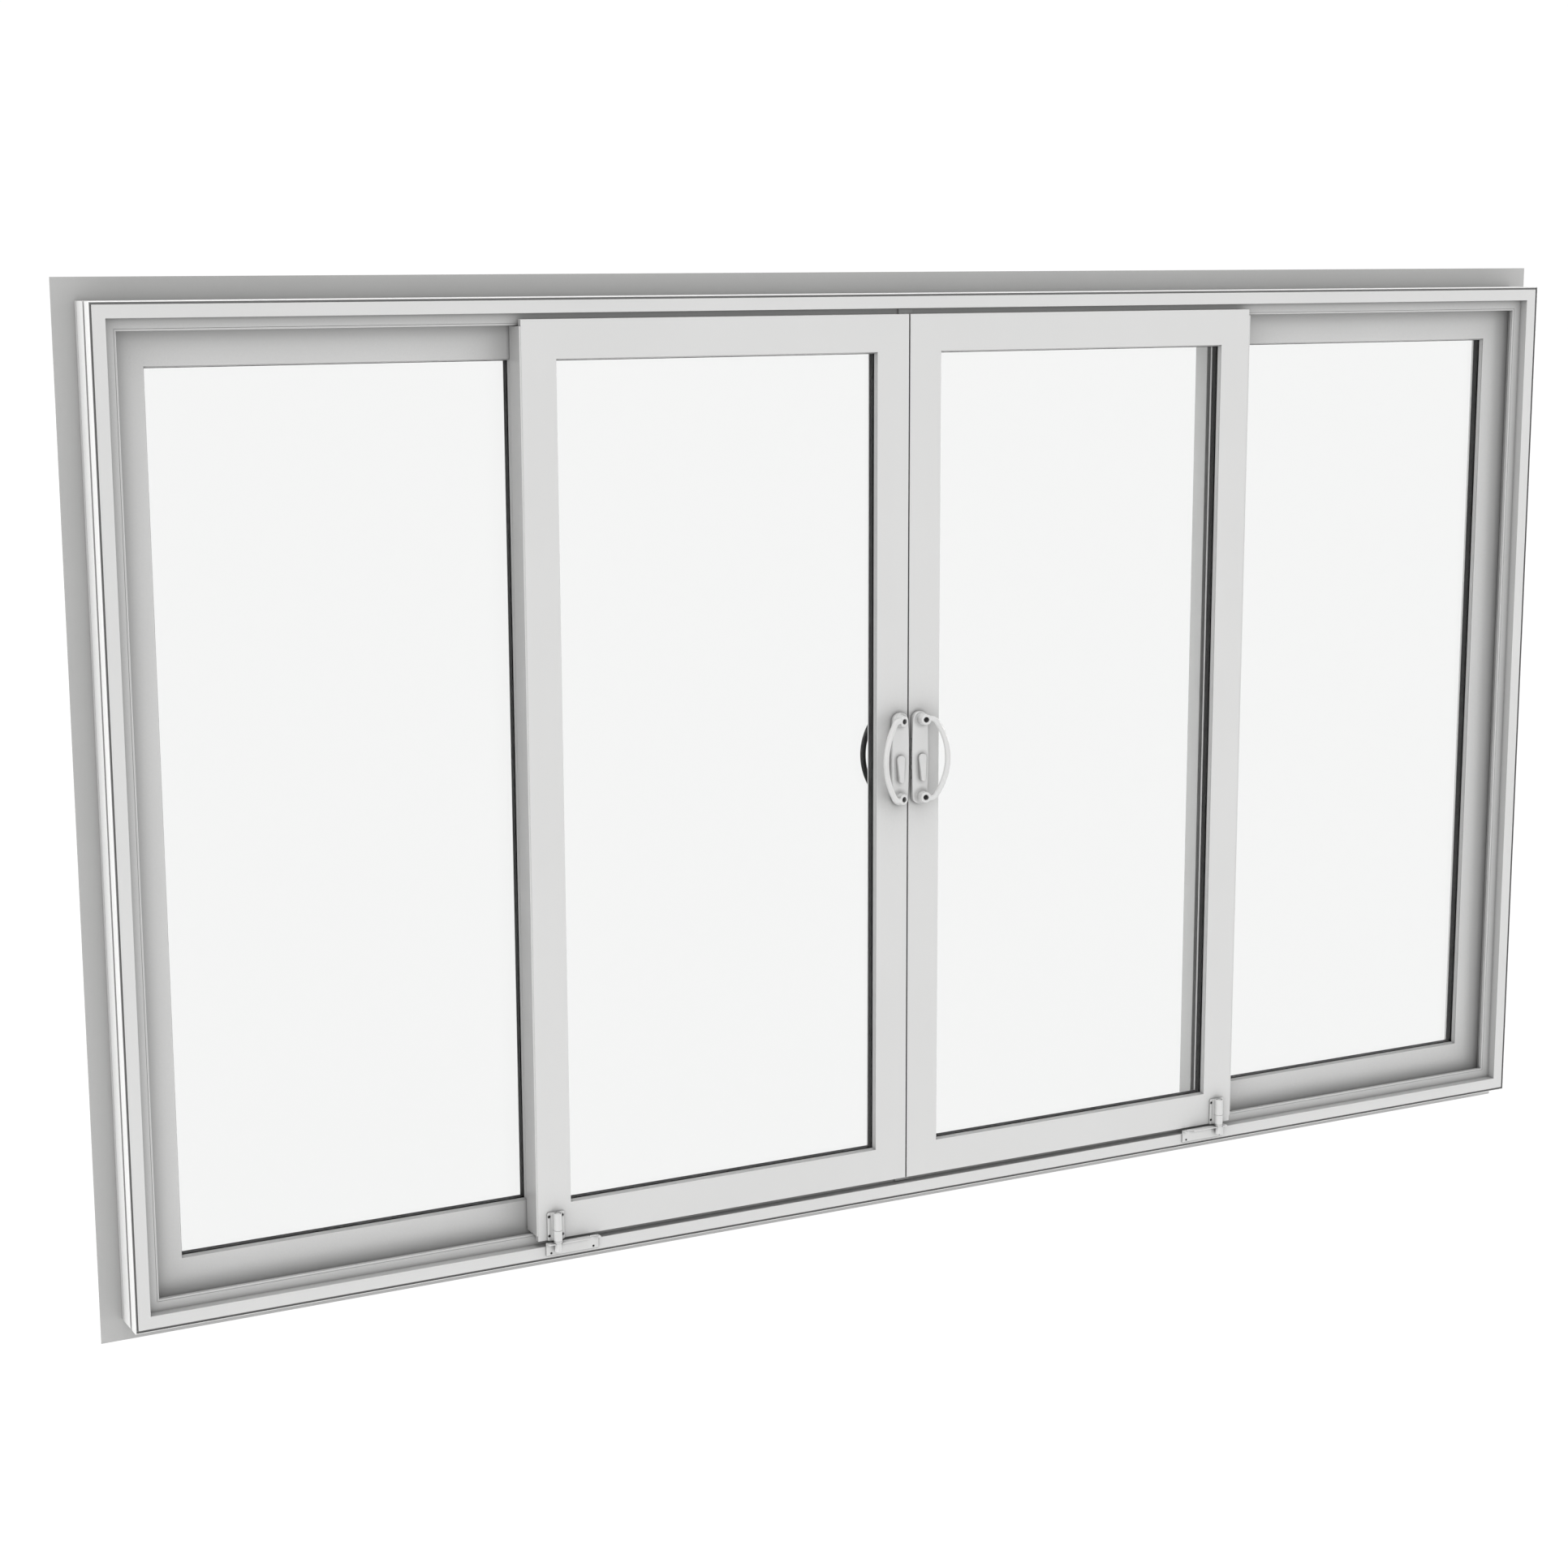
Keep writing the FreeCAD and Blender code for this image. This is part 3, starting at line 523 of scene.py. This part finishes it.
def hoop(mesh, centre, axis, inner, outer, height):
    """A ring with a square section."""
    first = axis.orthogonal().normalized()
    second = axis.cross(first)
    half = axis * (height / 2)
    loops = []
    for i in range(ROUND):
        a = 2 * math.pi * i / ROUND
        way = first * math.cos(a) + second * math.sin(a)
        low_in = centre + way * inner - half
        low_out = centre + way * outer - half
        high_out = centre + way * outer + half
        high_in = centre + way * inner + half
        loops.append([mesh.verts.new(at) for at in (low_in, low_out, high_out, high_in)])
    for near, far in zip(loops, loops[1:] + loops[:1]):
        for i in range(4):
            k = (i + 1) % 4
            mesh.faces.new((near[i], near[k], far[k], far[i]))


def quarter_turn(steps):
    """Angles from none to a right angle."""
    return [math.pi / 2 * i / steps for i in range(steps + 1)]


def rounded(at, r, steps=5):
    """A rounded edge as (further along, further in), for a plate's front."""
    return [(at + r * math.sin(a), r * (1 - math.cos(a))) for a in quarter_turn(steps)]


def arc_points(start, middle, end, steps):
    """Points on the circle through three places in a plane, without the last."""
    ax, ay = start
    bx, by = middle
    cx, cy = end
    d = 2 * (ax * (by - cy) + bx * (cy - ay) + cx * (ay - by))
    aa = ax * ax + ay * ay
    bb = bx * bx + by * by
    cc = cx * cx + cy * cy
    ux = (aa * (by - cy) + bb * (cy - ay) + cc * (ay - by)) / d
    uy = (aa * (cx - bx) + bb * (ax - cx) + cc * (bx - ax)) / d
    r = math.hypot(ax - ux, ay - uy)
    first, via, last = [math.atan2(y - uy, x - ux) for x, y in (start, middle, end)]
    way = 1 if (via - first) % (2 * math.pi) < (last - first) % (2 * math.pi) else -1
    sweep = ((last - first) * way) % (2 * math.pi)
    turns = [first + way * sweep * i / steps for i in range(steps)]
    return [(ux + r * math.cos(a), uy + r * math.sin(a)) for a in turns]


def new_piece(name, mesh, material):
    """An object from a bmesh, its faces turned outwards."""
    bmesh.ops.recalc_face_normals(mesh, faces=mesh.faces)
    data = bpy.data.meshes.new(name)
    mesh.to_mesh(data)
    mesh.free()
    data.materials.append(material)
    piece = bpy.data.objects.new(name, data)
    bpy.context.scene.collection.objects.link(piece)
    return piece


def settle(piece):
    """Turn a piece's modifiers into a plain mesh, smooth but for its sharp edges."""
    now = piece.evaluated_get(bpy.context.evaluated_depsgraph_get())
    data = bpy.data.meshes.new_from_object(now)
    data.name = piece.name
    old = piece.data
    piece.modifiers.clear()
    piece.data = data
    bpy.data.meshes.remove(old)
    data.shade_smooth()
    data.set_sharp_from_angle(angle=SHARP_EDGE)
    return piece


def cut_away(piece, mesh):
    """Take the shape of a bmesh out of a piece."""
    cutter = new_piece("cutter", mesh, white_paint)
    step = piece.modifiers.new("cut", "BOOLEAN")
    step.operation = "DIFFERENCE"
    step.solver = "EXACT"
    step.object = cutter
    settle(piece)
    bpy.data.objects.remove(cutter)


def cast(piece, voxel, softness, faces):
    """Melt overlapping closed shells into one casting with small fillets."""
    melt = piece.modifiers.new("melt", "REMESH")
    melt.mode = "VOXEL"
    melt.voxel_size = voxel
    soften = piece.modifiers.new("soften", "SMOOTH")
    soften.factor = 0.5
    soften.iterations = softness
    settle(piece)
    thin = piece.modifiers.new("thin", "DECIMATE")
    thin.ratio = min(1.0, faces / len(piece.data.polygons) / 2)
    settle(piece)


def place(piece, body, slot, *nodes):
    """Fix a piece to the body it moves with and hide the CAD pieces it stands for; the slot is not used.
    """
    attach(piece, body)
    if nodes:
        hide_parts(*nodes)


# Handles


def plate_outline(inset, steps=14):
    """Bowed plate, seen from the front, as offsets from its middle."""
    side = PLATE_HALF_W - inset
    end = PLATE_END_R - inset
    tip = PLATE_HALF_H - inset
    straight = PLATE_HALF_H - PLATE_END_R
    return (arc_points((-end, -straight), (0, -tip), (end, -straight), steps)
            + arc_points((end, -straight), (side, 0), (end, straight), steps)
            + arc_points((end, straight), (0, tip), (-end, straight), steps)
            + arc_points((-end, straight), (-side, 0), (-end, -straight), steps))


def grip_path(hand, face_y, out, top_x):
    """The grip's root, the direction in which it leaves the boss, and its reach."""
    root = Vector((hand * BOSS_X, face_y + out * GRIP_ROOT_Y, HANDLE_Z))
    top = Vector((hand * top_x, face_y + out * GRIP_TOP_Y, HANDLE_Z))
    return root, (top - root).normalized(), (top - root).length


def boss_lean(across, out):
    """Direction in which the boss's front looks: square to the grip's plane."""
    lean = UP.cross(across)
    return lean if lean.y * out > 0 else -lean


def grip_rings(root, across, reach, sides=32, corner_steps=14, bow_steps=48):
    """Rings of the bar: out from one boss, a tight corner, a long bow and back to the other boss."""
    axis = UP.cross(across)
    run_z = HOLES_APART / 2 + GRIP_RISE
    bow_u = reach - GRIP_BOW_R
    corner_z = run_z - GRIP_CORNER_R
    between = GRIP_BOW_R - GRIP_CORNER_R
    corner_u = bow_u + math.sqrt(between ** 2 - corner_z ** 2)
    turn = math.acos(corner_z / between)
    corner = [turn * i / corner_steps for i in range(corner_steps + 1)]
    bow = [turn + (math.pi - 2 * turn) * i / bow_steps for i in range(1, bow_steps)]
    bends = (
        (corner_z, corner_u, GRIP_CORNER_R, corner),
        (0, bow_u, GRIP_BOW_R, bow),
        (-corner_z, corner_u, GRIP_CORNER_R, [math.pi - a for a in reversed(corner)]),
    )

    def root_ring(step, way):
        """The root is taller than the bar, and shrinks to it before the corner."""
        t = step / GRIP_ROOT_STEPS
        tall = GRIP_R + (GRIP_ROOT_R - GRIP_R) * (1 - t) ** GRIP_ROOT_SWELL
        centre = root + across * (corner_u * t) + UP * (run_z * way)
        return circle(centre, axis, UP * way, GRIP_R, tall, sides)

    rings = [root_ring(i, 1) for i in range(GRIP_ROOT_STEPS)]
    for z, u, r, angles in bends:
        for a in angles:
            outwards = UP * math.cos(a) + across * math.sin(a)
            centre = root + across * u + UP * z + outwards * r
            rings.append(circle(centre, axis, outwards, GRIP_R, GRIP_R, sides))
    rings += [root_ring(i, -1) for i in reversed(range(GRIP_ROOT_STEPS))]
    return rings


def bore_bosses(piece, rims, lean):
    """A screw hole in the front of each boss, with a bevelled mouth."""
    holes = bmesh.new()
    for rim in rims:
        drill(holes, rim - lean * BOSS_HOLE_DEEP, lean, BOSS_HOLE_DEEP, BOSS_HOLE_R,
              below=0.6 * MM, above=1.5 * MM)
    cut_away(piece, holes)


def cut_latch_slots(piece, hand):
    """Three slots in the plate's edge, beside the other panel's handle."""
    slots = bmesh.new()
    edge = hand * (PLATE_X - PLATE_HALF_W)
    x0 = edge - hand * LATCH_DEEP
    x1 = edge + hand * LATCH_DEEP
    y0 = ROOM_Y - LATCH_SET - LATCH_W
    y1 = ROOM_Y - LATCH_SET
    for z0, z1 in LATCH_SLOTS:
        upright_bar(slots, ((x0, y0), (x1, y0), (x1, y1), (x0, y1)), SILL_Z + z0 * MM, SILL_Z + z1 * MM)
    cut_away(piece, slots)


def make_handle(side, hand, where, paint):
    """Cast handle: bowed plate, two bosses and a grip that leans away, all in one."""
    face_y, out = INDOOR if where == "indoor" else OUTDOOR
    top_x = GRIP_TOP_X if where == "indoor" else OUTDOOR_GRIP_TOP_X
    mesh = bmesh.new()
    layers = [(0.0, 0.0)] + rounded(PLATE_T - PLATE_EDGE_R, PLATE_EDGE_R)
    shell(mesh, [[Vector((hand * (PLATE_X + dx), face_y + out * t, HANDLE_Z + dz))
                  for dx, dz in plate_outline(inset)]
                 for t, inset in layers])
    root, across, reach = grip_path(hand, face_y, out, top_x)
    lean = boss_lean(across, out)
    level = UP.cross(lean)
    square = UP.cross(Vector((0, out, 0)))
    front = Vector((0, out * BOSS_H, 0))
    feet = [Vector((hand * BOSS_X, face_y, HANDLE_Z + dz)) for dz in (-HOLES_APART / 2, HOLES_APART / 2)]
    for foot in feet:
        rings = [circle(foot, UP, square, BOSS_ROOT_R, BOSS_ROOT_R)]
        for t, inset in rounded(-BOSS_EDGE_R, BOSS_EDGE_R):
            rings.append(circle(foot + front + lean * t, UP, level, BOSS_R - inset, BOSS_R - inset))
        shell(mesh, rings)
    shell(mesh, grip_rings(root, across, reach))
    piece = new_piece(side + "_" + where + "_pull", mesh, paint)
    cast(piece, PULL_VOXEL, PULL_SOFTNESS, PULL_FACES)
    slot = "outdoor_handle"
    if where == "indoor":
        slot = "handle"
        bore_bosses(piece, [foot + front for foot in feet], lean)
        cut_latch_slots(piece, hand)
    place(piece, side + "_slider", slot, side + "_" + where + "_handle")
    return [(foot + front - lean * BOSS_HOLE_DEEP, lean) for foot in feet]


def make_lever(side, hand):
    """Teardrop thumb lever with softened edges, its tip standing further out than its hub."""
    base_y = ROOM_Y - PLATE_T - LEVER_GAP
    lean = math.asin((LEVER_R - LEVER_TIP_R) / LEVER_LEN)

    def outline(inset, steps=20):
        hub = LEVER_R - inset
        tip = LEVER_TIP_R - inset
        over = [math.pi + lean - (math.pi + 2 * lean) * i / steps for i in range(steps + 1)]
        under = [-lean - (math.pi - 2 * lean) * i / steps for i in range(steps + 1)]
        return ([(hub * math.cos(a), hub * math.sin(a)) for a in over]
                + [(tip * math.cos(a), tip * math.sin(a) - LEVER_LEN) for a in under])

    def height(dz):
        t = (LEVER_R - dz) / (LEVER_R + LEVER_LEN + LEVER_TIP_R)
        return LEVER_HUB_H + (LEVER_TIP_H - LEVER_HUB_H) * t

    rings = [[Vector((hand * (BOSS_X + dx), base_y, HANDLE_Z + dz)) for dx, dz in outline(0)]]
    for t, inset in rounded(-LEVER_EDGE_R, LEVER_EDGE_R):
        ring = []
        for (dx, dz), (wide_x, wide_z) in zip(outline(inset), outline(0)):
            ring.append(Vector((hand * (BOSS_X + dx), base_y - height(wide_z) - t, HANDLE_Z + dz)))
        rings.append(ring)
    mesh = bmesh.new()
    shell(mesh, rings)
    piece = settle(new_piece(side + "_thumb_turn", mesh, white_paint))
    place(piece, side + "_lever", "handle", side + "_thumb_lever")


# Foot bolts and strikes


def housing_mesh(x):
    """Plate, web and barrel of one bolt housing, as overlapping closed shells."""
    plate_low = SILL_Z + BOLT_PLATE_LOW
    top = SILL_Z + BARREL_TOP
    half = BOLT_PLATE_W / 2
    front = ROOM_Y - BOLT_PLATE_T
    corner = BOLT_PLATE_CORNER
    mesh = bmesh.new()
    # Plate with clipped corners
    face = (
        (-half + corner, plate_low), (half - corner, plate_low),
        (half, plate_low + corner), (half, top - corner),
        (half - corner, top), (-half + corner, top),
        (-half, top - corner), (-half, plate_low + corner),
    )
    shell(mesh, [[Vector((x + dx, y, z)) for dx, z in face] for y in (ROOM_Y, front)])
    # Web from the plate to the barrel, hollow-sided
    web = [(BARREL_R + FLARE_R, front + BOLT_PLATE_T / 2)]
    for a in quarter_turn(9):
        web.append((BARREL_R + FLARE_R * (1 - math.sin(a)), front - FLARE_R * (1 - math.cos(a))))
    web.append((BARREL_R, BOLT_Y))
    plan = [(x + dx, y) for dx, y in web] + [(x - dx, y) for dx, y in reversed(web)]
    upright_bar(mesh, plan, plate_low, top)
    foot = Vector((x, BOLT_Y, SILL_Z + BARREL_LOW))
    lathe(mesh, foot, UP, [(0, BARREL_R), (BARREL_TOP - BARREL_LOW, BARREL_R)])
    lathe(mesh, foot, UP, [(0, SLEEVE_R), (SLEEVE_TOP - BARREL_LOW, SLEEVE_R)])
    return mesh


def make_housing(side, x):
    """Cast bolt housing with its bore, joint lines and screw holes; returns the screws' places."""
    piece = new_piece(side + "_bolt_housing", housing_mesh(x), white_paint)
    cast(piece, HOUSING_VOXEL, HOUSING_SOFTNESS, HOUSING_FACES)
    cuts = bmesh.new()
    past = BOLT_CUT_PAST
    lathe(cuts, Vector((x, BOLT_Y, SILL_Z + BARREL_LOW - past)), UP,
          [(0, BORE_R), (BARREL_TOP - BARREL_LOW + 2 * past, BORE_R)])
    for z in (SLEEVE_TOP, BARREL_LOW + JOINT_FOOT):
        hoop(cuts, Vector((x, BOLT_Y, SILL_Z + z)), UP, BARREL_R - JOINT_DEEP, SLEEVE_R + past, JOINT_W)
    spots = []
    for dx in (-BOLT_HOLE_W / 2, BOLT_HOLE_W / 2):
        for dz in (-BOLT_HOLE_H / 2, BOLT_HOLE_H / 2):
            at = Vector((x + dx, ROOM_Y, SILL_Z + BOLT_HOLE_Z + dz))
            drill(cuts, at - ROOMWARD * past, ROOMWARD, past + BOLT_PLATE_T, BOLT_HOLE_R,
                  below=1.0 * MM, above=1.0 * MM)
            spots.append((at + ROOMWARD * (BOLT_PLATE_T - BOLT_SCREW_SET), ROOMWARD))
    cut_away(piece, cuts)
    place(piece, side + "_slider", "foot_bolt", side + "_foot_bolt_body")
    return spots


def make_bolt(side, x):
    """The round bolt, with rounded ends."""
    mesh = bmesh.new()
    length = BARREL_TOP - BOLT_TOP_SET - BOLT_LOW
    nose = []
    for a in quarter_turn(6):
        nose.append((BOLT_NOSE_R * (1 - math.cos(a)), BOLT_R - BOLT_NOSE_R * (1 - math.sin(a))))
    tail = [(length - t, r) for t, r in reversed(nose)]
    lathe(mesh, Vector((x, BOLT_Y, SILL_Z + BOLT_LOW)), UP, nose + tail)
    piece = settle(new_piece(side + "_bolt_pin", mesh, white_paint))
    place(piece, side + "_bolt", "foot_bolt", side + "_foot_bolt")


def make_strike(side, hand):
    """Pressed angle on the sill, notched round the bolt and again for a half-open stop."""
    low = SILL_Z + STRIKE_LOW
    top = SILL_Z + STRIKE_TOP
    front = ROOM_Y - FLANGE_DEEP
    under = top - STRIKE_T
    web_front = ROOM_Y - STRIKE_T
    x1 = BOLT_X + STRIKE_OUT
    x0 = x1 - STRIKE_LEN
    section = (
        (ROOM_Y, low), (ROOM_Y, top), (front, top),
        (front, under), (web_front, under), (web_front, low),
    )
    mesh = bmesh.new()
    shell(mesh, [[Vector((hand * x, y, z)) for y, z in section] for x in (x0, x1)])
    piece = new_piece(side + "_bolt_angle", mesh, white_paint)
    cuts = bmesh.new()
    past = STRIKE_CUT_PAST
    for x in (BOLT_X, BOLT_X - VENT_AT):
        foot = Vector((hand * x, BOLT_Y, under - past))
        lathe(cuts, foot, UP, [(0, NOTCH_R), (STRIKE_T + 2 * past, NOTCH_R)])
    spots = []
    for x in (x0 + STRIKE_HOLE_IN, x1 - STRIKE_HOLE_IN):
        at = Vector((hand * x, ROOM_Y, SILL_Z + STRIKE_HOLE_Z))
        drill(cuts, at - ROOMWARD * past, ROOMWARD, past + STRIKE_T, STRIKE_HOLE_R,
              below=0.8 * MM, above=0.8 * MM)
        spots.append((at + ROOMWARD * (STRIKE_T - STRIKE_SCREW_SET), ROOMWARD))
    # Rounded free corners of the flange
    for x, way in ((x0, 1), (x1, -1)):
        corner = [(x - way * past, front - past), (x - way * past, front + STRIKE_CORNER)]
        for a in quarter_turn(6):
            along = STRIKE_CORNER * (1 - math.cos(a))
            corner.append((x + way * along, front + STRIKE_CORNER * (1 - math.sin(a))))
        corner.append((x + way * STRIKE_CORNER, front - past))
        upright_bar(cuts, [(hand * cx, y) for cx, y in corner], under - past, top + past)
    cut_away(piece, cuts)
    edge = piece.modifiers.new("edge", "BEVEL")
    edge.width = STRIKE_EDGE_R
    edge.segments = 3
    edge.limit_method = "ANGLE"
    edge.angle_limit = math.radians(40)
    settle(piece)
    place(piece, "frame", "foot_bolt", "foot_bolt_strikes")
    return spots


# Screws


def screw_tree():
    """One screw at each point of a mesh, its head turned the way that the point's facing says."""
    tree = bpy.data.node_groups.new("screws_at_points", "GeometryNodeTree")
    tree.is_modifier = True
    tree.interface.new_socket("Geometry", in_out="INPUT", socket_type="NodeSocketGeometry")
    for name, size in BOSS_SCREW.items():
        socket = tree.interface.new_socket(name, in_out="INPUT", socket_type="NodeSocketFloat")
        socket.default_value = size * MM
    tree.interface.new_socket("Finish", in_out="INPUT", socket_type="NodeSocketMaterial")
    tree.interface.new_socket("Geometry", in_out="OUTPUT", socket_type="NodeSocketGeometry")
    given = tree.nodes.new("NodeGroupInput").outputs
    link = tree.links.new

    def raised(mesh, height):
        lift = tree.nodes.new("ShaderNodeCombineXYZ")
        link(height, lift.inputs["Z"])
        move = tree.nodes.new("GeometryNodeTransform")
        link(mesh, move.inputs["Geometry"])
        link(lift.outputs["Vector"], move.inputs["Translation"])
        return move.outputs["Geometry"]

    def cylinder(sides, radius, depth):
        node = tree.nodes.new("GeometryNodeMeshCylinder")
        node.inputs["Vertices"].default_value = sides
        link(given[radius], node.inputs["Radius"])
        link(depth, node.inputs["Depth"])
        return node.outputs["Mesh"]

    crown = tree.nodes.new("GeometryNodeMeshCone")
    crown.inputs["Vertices"].default_value = SCREW_SIDES
    link(given["Crown Radius"], crown.inputs["Radius Top"])
    link(given["Head Radius"], crown.inputs["Radius Bottom"])
    link(given["Crown Height"], crown.inputs["Depth"])
    rim = cylinder(SCREW_SIDES, "Head Radius", given["Rim Height"])
    whole = tree.nodes.new("GeometryNodeMeshBoolean")
    whole.operation = "UNION"
    whole.solver = "EXACT"
    link(raised(rim, maths(tree, "MULTIPLY", given["Rim Height"], 0.5)), whole.inputs["Mesh 2"])
    link(raised(crown.outputs["Mesh"], given["Rim Height"]), whole.inputs["Mesh 2"])
    key = cylinder(SOCKET_SIDES, "Socket Radius", maths(tree, "MULTIPLY", given["Socket Depth"], 2.0))
    key_up = raised(key, maths(tree, "ADD", given["Rim Height"], given["Crown Height"]))
    socketed = tree.nodes.new("GeometryNodeMeshBoolean")
    socketed.operation = "DIFFERENCE"
    socketed.solver = "EXACT"
    link(whole.outputs["Mesh"], socketed.inputs["Mesh 1"])
    link(key_up, socketed.inputs["Mesh 2"])

    facing = tree.nodes.new("GeometryNodeInputNamedAttribute")
    facing.data_type = "FLOAT_VECTOR"
    facing.inputs["Name"].default_value = "facing"
    turn = tree.nodes.new("FunctionNodeAlignRotationToVector")
    turn.axis = "Z"
    link(facing.outputs["Attribute"], turn.inputs["Vector"])
    spots = tree.nodes.new("GeometryNodeMeshToPoints")
    link(given["Geometry"], spots.inputs["Mesh"])
    scatter = tree.nodes.new("GeometryNodeInstanceOnPoints")
    link(spots.outputs["Points"], scatter.inputs["Points"])
    link(socketed.outputs["Mesh"], scatter.inputs["Instance"])
    link(turn.outputs["Rotation"], scatter.inputs["Rotation"])
    solid = tree.nodes.new("GeometryNodeRealizeInstances")
    link(scatter.outputs["Instances"], solid.inputs["Geometry"])
    finish = tree.nodes.new("GeometryNodeSetMaterial")
    link(solid.outputs["Geometry"], finish.inputs["Geometry"])
    link(given["Finish"], finish.inputs["Material"])
    link(finish.outputs["Geometry"], tree.nodes.new("NodeGroupOutput").inputs["Geometry"])
    return tree


def make_screws(tree, name, body, spots, sizes):
    """A plain mesh of screws, one at each (place, facing)."""
    data = bpy.data.meshes.new(name)
    data.from_pydata([at for at, way in spots], [], [])
    facing = data.attributes.new("facing", "FLOAT_VECTOR", "POINT")
    for item, (at, way) in zip(facing.data, spots):
        item.vector = way
    piece = bpy.data.objects.new(name, data)
    bpy.context.scene.collection.objects.link(piece)
    step = piece.modifiers.new("screws", "NODES")
    step.node_group = tree
    sockets = {item.name: item.identifier for item in tree.interface.items_tree if item.in_out == "INPUT"}
    for key, size in sizes.items():
        step[sockets[key]] = size * MM
    step[sockets["Finish"]] = steel
    settle(piece)
    place(piece, body, SCREW_SLOT)


screws = screw_tree()
strike_spots = []
for side, hand in HANDS:
    slider = side + "_slider"
    boss_spots = make_handle(side, hand, "indoor", white_paint)
    make_handle(side, hand, "outdoor", black_paint)
    make_lever(side, hand)
    make_screws(screws, side + "_pull_screws", slider, boss_spots, BOSS_SCREW)
    plate_spots = make_housing(side, hand * BOLT_X)
    make_bolt(side, hand * BOLT_X)
    make_screws(screws, side + "_bolt_screws", slider, plate_spots, PLATE_SCREW)
for side, hand in HANDS:
    strike_spots += make_strike(side, hand)
make_screws(screws, "strike_screws", "frame", strike_spots, STRIKE_SCREW)


# Camera, light and floor

camera = bpy.data.cameras.new("camera")
camera.lens = CAMERA_LENS
camera.sensor_width = CAMERA_SENSOR
camera.clip_end = CAMERA_REACH
view = bpy.data.objects.new("camera", camera)
view.location = CAMERA_AT
view.rotation_euler = CAMERA_TURN
bpy.context.scene.collection.objects.link(view)
bpy.context.scene.camera = view

world = bpy.data.worlds.new("studio")
world.use_nodes = True
bpy.context.scene.world = world
sky = world.node_tree
background = sky.nodes["Background"]
background.inputs["Color"].default_value = (1.0, 1.0, 1.0, 1.0)
# White where it is seen, also through the glass; a dimmer dome as a source of light
ray = sky.nodes.new("ShaderNodeLightPath").outputs
seen = maths(sky, "MAXIMUM", ray["Is Camera Ray"], ray["Is Transmission Ray"])
sky.links.new(spread(sky, seen, DOME_LIGHT, DOME_SEEN, 0.0, 1.0), background.inputs["Strength"])

for name, towards, power in LAMPS:
    lamp = bpy.data.lights.new(name, "SUN")
    lamp.energy = power
    lamp.angle = LAMP_WIDTH
    source = bpy.data.objects.new(name, lamp)
    source.rotation_euler = Vector(towards).to_track_quat("Z", "Y").to_euler()
    bpy.context.scene.collection.objects.link(source)

floor_mesh = bpy.data.meshes.new("floor")
corners = [Vector((x, y, 0)) * FLOOR_HALF + UP * FLOOR_Z for x, y in ((-1, -1), (1, -1), (1, 1), (-1, 1))]
floor_mesh.from_pydata(corners, [], [(0, 1, 2, 3)])
floor = bpy.data.objects.new("floor", floor_mesh)
bpy.context.scene.collection.objects.link(floor)
floor.data.materials.append(pale_floor("pale_floor"))
floor.visible_shadow = False

bpy.context.scene.view_settings.view_transform = "Standard"
bpy.context.scene.view_settings.look = "None"
